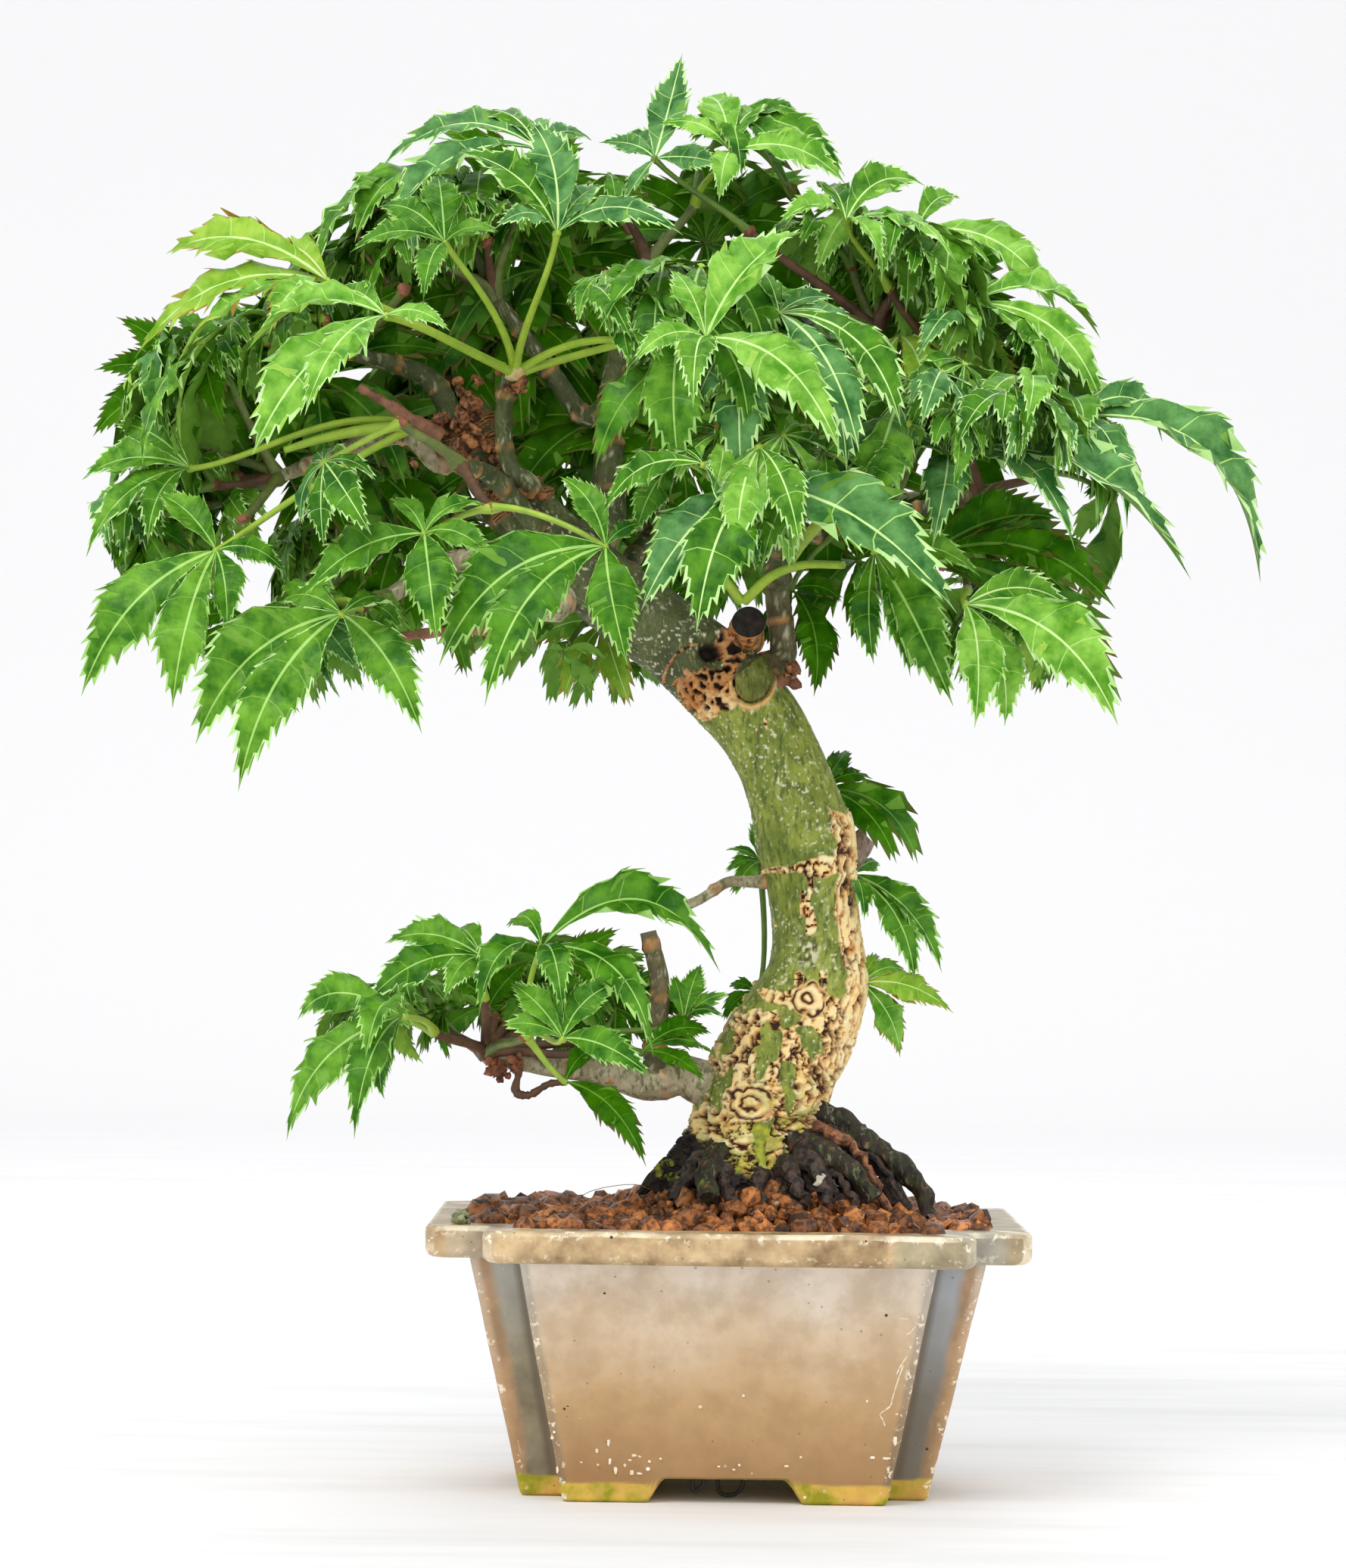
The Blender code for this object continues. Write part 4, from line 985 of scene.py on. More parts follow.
ROOTS = {name: np.reshape(points, (-1, 4)) for name, *points in read_rows("""
root_right_arch 9 -1.5 62.6 3.2, 16 -2.5 62.4 2.3, 22.6 -4 58.8 2, 28.4 -5.5 54.8 1.8,
33 -6.5 50.2 1.6, 34.9 -7 45.8 1.4
root_right_inner 10 -6 58 2.5, 15.2 -9.6 56.6 1.9, 20.5 -12 54 1.6, 25 -13.5 48.5 1.3
root_front -1.5 -7 56 2.6, -2.6 -13.2 54.6 1.9, -3.8 -17.5 52 1.6, -3.2 -20.5 48.6 1.3
root_left -4 -2 55 2.3, -9.5 -3 53.4 1.7, -13 -4 50.8 1.4, -16 -5 47.2 1.1
root_back 5 7 57 2.8, 7 13.6 55.6 2.2, 8 17.5 53.2 1.9, 9 20.5 49.6 1.5
""")}
TRUNK_COLUMNS = 210
TRUNK_STEP = 0.25
BOUGH_COLUMNS = 26
BOUGH_STEP = 0.9
BARK_UNEVEN = 0.035
LEVEL_BELOW = 60            # height under which the trunk's rings are all level
FRONT_DENSER = 0.36           # how much closer the trunk's columns are in front than at its side
NODE_GAP = 9                # mm between the raised rings of a bough
BARE = dict.fromkeys(("cork", "groove", "tint", "pale", "moss", "hollow"), 0)

# Ovals on the front of the trunk: centre (x, z), half width and half height.
KNOTS = ((13.7, 82.2, 2.5, 2.5), (3.7, 64.3, 3.6, 2.6))
HOLLOW = (-4.5, 142, 2.9, 3)
BOSS = (2.9, 137.4, 3.3, 4.2)         # smooth green boss at the fork
CALLUS = ((-4.2, 135.4, 5.8, 4.4), (-0.8, 142.4, 2.2, 5.2))
SCAR = (-4.4, 137.2, 7.7, 6.4)
COLLARS = ((166.8, 1.9), (169.6, 1.2), (181, 1.6), (184.5, 2.4))      # height and half width


def bark_swell(angle, height, phase):
    """Slow waves round and along a limb, as a part of its radius."""
    return BARK_UNEVEN * (0.6 * np.sin(2 * angle + 0.11 * height + phase)
                          + 0.4 * np.sin(3 * angle - 0.17 * height + 2 * phase))


def oval(place, spot):
    """Distance from a spot's centre seen from the front, 1 at its edge."""
    return np.hypot((place[..., 0] - spot[0]) / spot[2], (place[..., 2] - spot[1]) / spot[3])


def cork_net(place, size, salt, pitted=0.65, open_by=1.2):
    """Cork as winding ridges: slits where soft noise is close to a half, and open pits.

    Pits are where a second noise is above pitted.  Returns the height, the dark of slits and
    pits (dark bark with painted shade in it), and the brown beside them, each from 0 to 1.
    """
    away = np.abs(layered(place, size, 3, salt) - 0.5)
    pits = layered(place, np.asarray(size) * 0.8, 2, salt + 5)
    wide = open_by * (0.015 + 0.075 * ease(0.35, 0.75, layered(place, 2.4, 2, salt + 7)))
    dark = np.maximum(ease(wide, 0.4 * wide, away), ease(pitted, pitted + 0.05, pits))
    brown = np.maximum(ease(wide + 0.06, wide, away), ease(pitted - 0.08, pitted, pits))
    return np.stack([1 - 0.45 * brown - 0.55 * dark, dark, brown])


def trunk_cork(place, out, soft, fine):
    """Where the trunk has cork, from 0 to 1, and its parts that look different.

    It covers the foot, a column up the right, a band across the middle, a streak under it, a
    star round the upper knot, the callus at the fork and a scar beside it.
    """
    x, z = place[..., 0], place[..., 2]
    front, right = -out[..., 1], out[..., 0]
    facing = ease(0.05, 0.4, front)
    low = 1 - ease(77, 80, z + 9 * soft + 3 * fine - 3 * np.abs(right))
    column = ease(0.50, 0.58, right + 0.30 * soft + 0.2 * fine) * ease(-0.75, -0.4, front) \
        * ease(118, 112, z + 4 * soft)
    line = 104.2 + (x - 4) * 0.10 + 1.2 * soft
    band = bump(z, line, 0.9 + 2.6 * bump(x, 15.5, 5.5) + 0.9 * fine) * ease(-0.7, 0, front)
    streak = bump(x, 13.2 + 2.5 * soft, 1.9) * ease(92, 95, z) * ease(106, 104, z) * facing \
        * ease(0.34, 0.46, layered(place, (1.4, 1.4, 3), 2, 24))
    away = oval(place, KNOTS[0])
    arms = bump(z, 81.8 - 0.14 * (x - 13.8) + 1.5 * soft, 1.1 + 9 / (3 + away ** 2)) \
        * ease(9.5, 8, np.abs(x - 14))
    ears = np.maximum(bump(x, 11.8, 1.6), bump(x, 16, 1.2)) * bump(z, 85, 3.2)
    star = ease(0.25, 0.6, np.maximum(arms, ears) + fine) * facing
    spot = bump(x, 5.4, 0.7) * bump(z, 129.8 - 1.5 * (x - 5.4), 1.6) * facing
    away = np.minimum(*(oval(place, spot) for spot in CALLUS)) + 0.9 * soft + 0.5 * fine
    callus = (1 - ease(0.92, 1.06, away)) * facing
    scar = bump(oval(place, SCAR) + 0.12 * soft, 1, 0.055) * facing * ease(-5.5, -7.5, x)
    cork = np.maximum.reduce([low, column, band, streak, star, callus, scar, spot])
    patch = ease(0.585, 0.61, layered(place, (2.5, 2.5, 5), 2, 27)) * (1 - 0.8 * column) \
        * (1 - callus) * low * (1 - star)
    return ease(0.3, 0.55, cork * (1 - patch)), low, callus


def trunk_relief(place, out):
    """Height of the bark above its base, and its fields.

    Cork is a net of ridges, upright on the right and wrinkled at the foot, with rings round
    the knots.  Skin between it has fine ripples and flecks.
    """
    x, z = place[..., 0], place[..., 2]
    front, right = -out[..., 1], out[..., 0]
    soft = layered(place, 5, 3, 21) - 0.5
    fine = layered(place, 1.3, 2, 22) - 0.5
    bent = place + (1.6 * soft + 0.9 * fine)[..., None]
    facing = ease(0.05, 0.4, front)
    cork, low, callus = trunk_cork(place, out, soft, fine)
    lip = bump(cork, 0.5, 0.42)

    upright = ease(0.45, 0.6, right + 0.2 * soft) * ease(60, 66, z)
    wrinkled = ease(71, 65, z + 4 * soft) * (1 - upright)
    nets = between(cork_net(bent, (1.35, 1.35, 1.5), 31),
                   cork_net(bent, (1, 1, 3), 33, 0.71, 1.35), upright)
    net, holes, brown = between(nets, cork_net(bent, (2.4, 2.4, 1.1), 35, 0.67), wrinkled)
    height = cork * (1.15 * net - 0.55) + 0.35 * lip
    curl = 1 - np.abs(2 * layered(bent, 1.3, 2, 41) - 1) * 2.2
    height = between(height, 1.6 * curl - 0.4, callus)
    height += low * cork * 1 * (layered(place, (5, 5, 3.2), 2, 43) - 0.5)
    groove = between(cork * holes, ease(0.52, 0.30, curl), callus)
    tint = np.clip(brown * 0.7 + 0.8 * (layered(place, 2.6, 2, 45) - 0.62), 0, 1) * (1 - lip)
    tint = np.maximum(tint, callus * (0.1 + 0.35 * ease(0.4, 0.6, layered(place, 1.1, 2, 49))))

    for spot in KNOTS:
        away = oval(place, spot) + 0.5 * fine + 0.35 * soft
        near = (1 - ease(1, 1.4, away)) * facing
        rings = 0.5 + 0.5 * np.cos(away * 9.5 + 1.5 * fine)
        height = between(height, 0.35 + 0.75 * rings, near)
        cork = np.maximum(cork, near)
        dark = (1 - ease(0.06, 0.34, rings)) * ease(0.40, 0.56, layered(place, 1.6, 2, 48) + 0.1)
        groove = between(groove, dark, near)
        tint = tint * (1 - near) + near * 0.7 * (1 - ease(0.1, 0.6, rings))
    away = oval(place, BOSS) + 0.12 * soft
    boss = (1 - ease(0.86, 0.95, away)) * facing
    rim = bump(away, 1.15, 0.23) * facing * ease(BOSS[1] + 2, BOSS[1] - 1, z)
    height = between(height, 2 - 0.9 * away ** 2, boss) + 1.1 * rim
    cork = np.maximum(cork * (1 - boss), rim)
    tint = np.maximum(tint * (1 - boss), rim * 0.5)
    groove = groove * (1 - np.maximum(boss, rim)) + 0.45 * boss + bump(away, 0.95, 0.055) \
        * facing * ease(BOSS[1] + 3.5, BOSS[1] + 1, z)
    # The hollow is sunk, and its hollow field paints it near black: painted shade.
    away = oval(place, HOLLOW) + 0.7 * soft
    deep = (1 - ease(0.35, 1, away)) * facing
    height = height - 3.4 * deep + 0.9 * bump(away, 1.2, 0.3) * facing

    fleck = ease(0.66, 0.76, layered(place, (0.6, 0.6, 0.4), 2, 51))
    pale = fleck * (1 - cork) * 0.9 * ease(0.36, 0.52, layered(place, 5, 2, 53))
    height += (1 - cork) * (0.16 * layered(place, (1.2, 1.2, 4), 3, 55) + 0.14 * pale)
    grey = bump(x, 13.5, 3) * bump(z, 90.5, 5) * facing * (1 - cork)
    mottled = layered(place, 0.9, 2, 57)
    pale = np.maximum(pale, grey * ease(0.50, 0.58, mottled)) * (1 - 0.7 * boss)
    groove = np.maximum(groove, grey * 0.8 * ease(0.46, 0.40, mottled))
    moss = ease(0.42, 0.56, layered(place, (2.4, 2.4, 1.8), 3, 61)) * 0.72 \
        * ease(72, 60, z + 7 * ease(6, 0, x)) * (1 - groove)
    # Below a wavy line round the foot, higher at the back and at the sides, the hollow field paints the
    # bark near black.
    line = 52.6 + 6.5 * ease(1, -7, x) + 10.5 * ease(10.5, 16.5, x) + 4 * soft + 1.2 * fine \
        + 6 * ease(0.1, -0.5, front)
    dark_foot = ease(line + 0.8, line - 0.8, z)
    return height + 0.5 * dark_foot * fine, {
        "cork": cork, "groove": groove, "tint": tint, "pale": pale, "moss": moss,
        "hollow": np.maximum(ease(0.2, 0.75, deep), dark_foot)}


def limb_relief(place, out):
    """Bark of the main limb: fine ripples and specks, and the trunk's bark at its foot.

    Brown rings are where the place along it, bent by noise, is close to a collar.
    """
    x, z = place[..., 0], place[..., 2]
    soft = layered(place, 4, 3, 71) - 0.5
    height, fields = trunk_relief(place, out)
    upper = ease(148, 152, z)
    rings = np.max([bump(z - 0.55 * (x + 39) - level + 2 * soft, 0, wide)
                    for level, wide in COLLARS], axis=0)
    ripple = 0.5 + 0.5 * np.sin(9 * (z - 0.5 * x + 1.6 * soft))
    cork = rings * ease(-0.6, 0.1, -out[..., 1])
    smooth = 0.14 * layered(place, (1.4, 1.4, 2.4), 3, 75)
    fleck = ease(0.73, 0.80, layered(place, 0.8, 2, 77))
    mine = {**BARE, "cork": cork, "groove": cork * (1 - ripple) * 0.9, "tint": 0.6 * ripple,
            "pale": 0.75 * fleck * (1 - cork)}
    return (between(height, smooth + cork * (0.35 + 0.65 * ripple), upper),
            {name: between(fields[name], mine[name], upper) for name in mine})


def limb_grid(path, columns, phase, level_foot=False):
    """Points of a limb, its centre line plus its swelling radius times the way out, and that way.

    A level foot has five low buttresses, and its columns stand closer in front.
    """
    angle = np.arange(columns) * 2 * math.pi / columns
    if level_foot:
        angle = angle + FRONT_DENSER * np.cos(angle)
    place, out = ring_grid(path, angle)
    height = path[:, 2:3]
    swell = bark_swell(angle, height, phase)
    if level_foot:
        low = path[:, 2] < LEVEL_BELOW
        out[low] = out[~low][0]
        fade = np.clip((62 - height) / 14, 0, 1.3)
        swell = swell + 0.10 * fade * np.sin(5 * angle + 0.4) + 0.10 * fade ** 2
    return place + (path[:, 3:4] * (1 + swell))[..., None] * out, out


def barked(path, columns, phase, relief):
    """A limb's skin with its relief added along the way out."""
    place, out = limb_grid(path, columns, phase)
    height, fields = relief(place, out)
    stock = Stock()
    stock.add_rings(place + height[..., None] * out, **{**BARE, **fields})
    return stock


def limb_paths():
    """The path of every limb; a bough starts inside the limb that carries it."""
    paths = {"trunk": smooth_path(((2.6, 0, 44.5, 13.6), *TRUNK), 12),
             "main_limb": smooth_path((*TRUNK[-2:], *MAIN_LIMB), 12)[12:]}
    coarse = {"trunk": smooth_path(TRUNK, 2)}
    fork = coarse["trunk"][-1]
    way = tangents(coarse["trunk"])[-1]
    joint = ((*(fork[:3] + GAP * way), fork[3]), (*(fork[:3] + (GAP + 2.5) * way), fork[3]))
    coarse["main_limb"] = smooth_path((*joint, *MAIN_LIMB), 2)
    for name, (parent, part, points) in BOUGHS.items():
        carrier, width, direction, length = point_along(coarse[parent], part)
        radius = points[0][3] * 1.15
        out = points[0][:3] - carrier
        out = unit(out - np.dot(out, direction) * direction)
        width = max(width, point_along(coarse[parent], part - radius / length)[1])
        start = carrier + out * (width * (1 + BARK_UNEVEN) + GAP)
        collar = (*(start + out * radius), radius)
        coarse[name] = smooth_path([(*start, radius), collar, *points], 2)
        inner = (*(carrier + out * width * 0.45), radius * 1.5)
        paths[name] = even_path([inner, (*start, radius * 1.12), collar, *points], BOUGH_STEP)
    for name, points in ROOTS.items():
        paths[name] = even_path(points, BOUGH_STEP)
    return paths


def bough_relief(seed):
    """Relief of a bough: a raised ring every NODE_GAP or so, ripples and pale lenticels."""
    def relief(place, out):
        run = run_along(place.mean(axis=1))[:, None]
        soft = layered(place, 3, 2, seed) - 0.5
        node = bump(np.mod(run + 1.5 * soft, NODE_GAP), NODE_GAP / 2, 0.9)
        height = 0.10 * layered(place, (0.8, 0.8, 1.6), 2, seed + 3) + 0.35 * node
        fleck = ease(0.72, 0.8, layered(place, 0.7, 2, seed + 5))
        brown = node * ease(0.3, 0.6, layered(place, 1.4, 2, seed + 7))
        return height, {"cork": brown, "groove": 0.5 * node * (soft > 0.1),
                        "tint": layered(place, 1.5, 2, seed + 9), "pale": 0.6 * fleck}
    return relief


def root_relief(place, out):
    """Stringy ridges along a root and rough lumps."""
    coarse = layered(place, (0.9, 0.9, 2.6), 3, 91) - 0.5
    lumps = layered(place, 2.6, 2, 93) - 0.5
    moss = ease(0.78, 0.84, layered(place, 1.8, 2, 95)) * 0.4 * (out[..., 2] > 0.2)
    tan = 0.45 * ease(0.66, 0.80, layered(place, (1, 1, 3), 2, 97))
    return 1.7 * coarse + 2 * lumps, {"cork": tan, "tint": tan, "moss": moss}


def stump_relief(place, out):
    """A pale rim round a hollow at the end, painted near black as painted shade, and cork on the sides.
    """
    rows = np.linspace(0, 1, len(place))[:, None] + np.zeros(place.shape[:-1])
    net, holes, brown = cork_net(place, 1.5, 63)
    cork = ease(0.2, 0.5, layered(place, 2, 2, 65)) * ease(0.95, 0.8, rows)
    rim = ease(0.82, 0.94, rows)
    return 0.5 * net * cork + 0.5 * rim, {
        "cork": np.maximum(cork, rim), "groove": holes * cork, "tint": np.maximum(brown, 0.3 * rim),
        "hollow": ease(0.96, 0.99, rows)}


def plain_relief(place, out):
    """Fine ripples only."""
    return 0.4 * layered(place, 1.2, 3, 67), {}


ROOTLETS = 34
ROOT_LUMPS = 520
HEAP_LEFT = -5              # left of here the heap of roots is drawn in
# Thin roots that stand clear of the soil: from, over and to, each (x, y, z), and a radius.
THIN_ROOTS = read_points("""
15 -4 60.5, 22 -8 56.5, 28 -10 46.5, 0.8
13 -7 57, 19 -9 54.5, 24 -10.5 48, 1.3
12 -9 55, 15 -13.5 53, 17 -16 48.5, 1.2
17 -4 60, 25 -6 55.5, 31.5 -9 46, 0.8
14 -8 56, 19 -12 52, 22 -15 47, 0.8
14 4 60, 24 6 57, 32 8 46, 1.4
-2 -9 54, -7 -11 53, -10 -12 48.5, 1.1
-5 4 56, -9 6 54, -12 8 48.5, 1.2
13 -3 59, 19.5 -4.5 57.5, 27 -7 47, 1.5
12 -5 58, 18 -8 55.5, 22 -9 47, 1.7
15 -2 60.5, 23 -3 57, 30 -4 46.5, 1.5
12 -8 57, 15 -12 54.5, 19 -14 47.5, 1.5
10 -10 54, 11 -14 52.5, 13 -18 47.5, 1.4
5 -11 52.5, 5 -14.5 51.5, 4 -18 47.5, 1.3
0 -11 53.5, -1 -15 52, 1 -19 47.5, 1.3
-3 -8 54.5, -6 -12 53.5, -9 -15 47.5, 1.4
""", 10)


def make_root_mat():
    """Fine roots and dark lumps heaped round the foot of the trunk."""
    draw = np.random.default_rng(29)
    mat = Stock()
    for *points, radius in THIN_ROOTS:
        widths = radius * np.array((1.5, 1, 0.8))
        path = smooth_path(np.column_stack([np.reshape(points, (3, 3)), widths]), 8)
        path[:, :3] += draw.normal(0, 0.28, (len(path), 3))
        path[:, 3] *= draw.uniform(0.7, 1.3, len(path))
        mat.add_tube(path, 8, int(draw.integers(9) == 0))
    for angle in draw.uniform(0, 2 * math.pi, ROOTLETS):
        way = np.array((math.cos(angle), math.sin(angle)))
        reach = draw.uniform(12, 15 if way[0] < 0 else 27)
        points = []
        for part in np.linspace(0, 1, 9):
            x, y = MOUND_CENTRE + way * (9.5 + (reach - 9.5) * part)
            ground = float(mound_height(x, y))
            lift = (1 - part) ** 1.5 * draw.uniform(2, 4.8) + 0.5 - 1.8 * part ** 3
            points.append((x + draw.normal(0, 0.6), y + draw.normal(0, 0.6), ground + lift,
                           draw.uniform(0.8, 1.2) * (1.3 - 0.9 * part)))
        mat.add_tube(even_path(smooth_path(points, 3), 0.9), 8, 0)
    angle = draw.uniform(0, 2 * math.pi, ROOT_LUMPS)
    away = 10.5 + 6.5 * draw.uniform(0, 1, ROOT_LUMPS) ** 1.4
    x, y = MOUND_CENTRE[0] + away * np.cos(angle), away * np.sin(angle) * 0.95
    x = np.where(x < HEAP_LEFT, HEAP_LEFT + 0.55 * (x - HEAP_LEFT), x)
    rise = 3 + 1.6 * ease(0.2, -0.6, np.cos(angle)) + 2.6 * ease(0.2, 0.8, np.cos(angle)) \
        + 1 * ease(0.5, -0.2, np.sin(angle)) - 1.4
    height = mound_height(x, y) \
        + rise * np.exp(-(away - 10.5) / 3) * draw.uniform(0.2, 1.6, ROOT_LUMPS)
    add_lumps(mat, np.column_stack([x, y, height]), draw.uniform(0.5, 1.25, ROOT_LUMPS), 0, draw,
              (0.5, 1.4), 0.35)
    mat.piece("root_mat", "root_mat root_cut", "root", smooth=40)


# Small stubs of old wood: from, to, radius at each end, the finish and the relief.
STUBS = {
    "fork_stump": ((1.7, -0.5, 144.8), (2.3, -7.8, 147.3), 3.1, 2.4, "brown_bark", stump_relief),
    "side_stub": ((18.5, 2, 105), (23.6, 2, 110.6), 3, 1.7, "pink_bark", plain_relief)}
OLD_TWIGS = (((7.5, -3.5, 137, 1.15), (9.3, -4.5, 138, 1.15), (10.6, -5, 139.6, 1.15)),
             ((8.5, -4, 137.6, 0.9), (10.4, -4.5, 137, 0.9)))


def make_stubs():
    """A stump at the fork with a hollow painted on its end as painted shade, a grey stub on the
    right, and two twigs with buds.
    """
    for name, (start, end, wide, narrow, look, relief) in STUBS.items():
        middle = np.array(start) * 0.4 + np.array(end) * 0.6
        path = even_path([(*start, wide), (*middle, (wide + narrow) / 2), (*end, narrow)], 0.4)
        barked(path, 30, 3, relief).piece(name, look, "young_bark", smooth=75)
    twigs, draw = Stock(), np.random.default_rng(31)
    for line in OLD_TWIGS:
        path = even_path(line, 0.7)
        path[:, 3] *= draw.uniform(0.75, 1.25, len(path))
        twigs.add_tube(path, 8)
        add_lumps(twigs, np.array(line)[-1:, :3], 1.3, 1, draw)
    twigs.piece("old_twigs", "twig_pink bud", "young_bark")


# Boughs not named here take the main limb's bark, darkened as painted shade.
BOUGH_LOOKS = {"bough_left_low": "pale_bark", "bough_left": "pale_bark", "low_bough": "pale_bark",
               "thin_twig": "pale_bark", "right_stem": "brown_bark", "low_upright": "brown_bark"}


def make_limbs():
    """A piece for each limb and root; returns their paths."""
    paths = limb_paths()
    whole = even_path(np.vstack([paths["trunk"], paths["main_limb"][1:]]), TRUNK_STEP)
    fork = int(np.argmin(size_of(whole[:, :3] - TRUNK[-1][:3])))
    place, out = limb_grid(whole, TRUNK_COLUMNS, 0.4, level_foot=True)
    for name, look, rows, relief in (
            ("trunk", "bark", slice(0, fork + 1), trunk_relief),
            ("main_limb", "limb_bark", slice(fork - 1, None), limb_relief)):
        height, fields = relief(place[rows], out[rows])
        if name == "main_limb":
            height[-12:] *= np.linspace(1, 0.15, 12)[:, None]
        stock = Stock()
        stock.add_rings(place[rows] + height[..., None] * out[rows], **fields)
        stock.piece(name + "_bark", look, "bark", [name], smooth=75)
    for number, name in enumerate(BOUGHS):
        barked(paths[name], BOUGH_COLUMNS, number, bough_relief(100 + 10 * number)).piece(
            "bark_" + name, BOUGH_LOOKS.get(name, "limb_bark"), "young_bark", [name], smooth=75)
    for number, name in enumerate(ROOTS):
        barked(paths[name], BOUGH_COLUMNS, number, root_relief).piece(
            "bark_" + name, "root", "root", [name], smooth=75)
    return paths


# ---- leaves ----
# A leaf is five toothed lobes and two small ones.  Each lobe is a closed lens: rows run across
# it and lean forward, columns run from margin to margin.
LOBE_WIDTH = 0.192           # widest half width, as a part of the lobe's length
TEETH = 12
SMALL_TEETH = 6
SIDE_VEIN = 0.0032           # half width of a side vein, along the lobe
TOOTH_LEAN = 0.78            # how far a tooth's point leans forward, as a part of its pitch
MARGIN_HIGHLIGHT_WIDTH = 0.0115            # width of the pale line round the margin, a painted highlight
HANG = 0.19                  # how far a level lobe's midrib rises before it falls
LEAF_THICKNESS = 0.2         # mm at the midrib
SMALL_LOBE = 12            # mm under which a lobe is of the small kind
OPEN_SIDE = math.radians(24)     # half angle beyond the outermost lobes
WEB_LIMITS = (math.radians(10), math.radians(30))
BLADE, VEIN, HIGHLIGHT_MARGIN, UNDERSIDE, SIDE = range(5)


def lobe_rows(teeth, veins):
    """Rows of a lobe: how far along, tooth (0 or 1), forward lean and vein strips.

    From 0.11 the pitch of the teeth grows by a power of 1.12.  Each has a row at its valley
    and one at its point, and every third one a vein strip.
    """
    rows = [(0, 0, 0, 0), (0.05, 0, 0, 0)]
    start = 0.11 + 0.79 * (np.arange(teeth + 1) / teeth) ** 1.12
    for k, pitch in enumerate(np.diff(start)):
        rows.append((start[k], 0, 0, 0))
        point, lean = start[k] + 0.62 * pitch, TOOTH_LEAN * pitch
        if veins and k % 3 == 1 and k < teeth - 2:
            rows += [(point - SIDE_VEIN, 0.94, lean, 1), (point + SIDE_VEIN, 1, lean, 0)]
        else:
            rows.append((point, 1, lean, 0))
    rows += [(along, 0, 0, 0) for along in (0.905, 0.955, 1)]
    return np.array(rows)


def lobe_faces(rows, columns):
    """Quads of the lens with its two ends, and the kind of each."""
    last, around = len(rows) - 1, len(columns)
    kind = np.repeat(np.array(FACE_KINDS)[None, columns], last, axis=0)
    side = (rows[:-1, 3] == 1)[:, None] & (kind == BLADE)
    kind[side] = SIDE
    foot = around - 2
    cap = np.array([(foot, foot + 1, 0, 1),
                    *((foot, k, k + 1, k + 2) for k in range(1, foot - 1, 2))])
    quads = np.concatenate([grid_faces(last + 1, around)[:, (0, 3, 2, 1)], cap,
                            cap[:, ::-1] + last * around])
    return quads, np.append(kind.reshape(-1), np.full(2 * len(cap), VEIN))


# The kind of face after each column: margin (its pale line a painted highlight), inner margin,
# middle and rib on each side of the midrib, then three underneath.  A small lobe has no middle
# columns.
FACE_KINDS = (HIGHLIGHT_MARGIN, BLADE, BLADE, VEIN, VEIN, BLADE, BLADE, HIGHLIGHT_MARGIN, *4 * (UNDERSIDE,))
FULL = np.arange(12)
SPARSE = np.array((0, 1, 3, 4, 5, 7, 8, 9, 10, 11))
LOBE_KINDS = [(rows, columns, *lobe_faces(rows, columns))
              for rows, columns in ((lobe_rows(TEETH, True), FULL),
                                    (lobe_rows(SMALL_TEETH, False), SPARSE))]


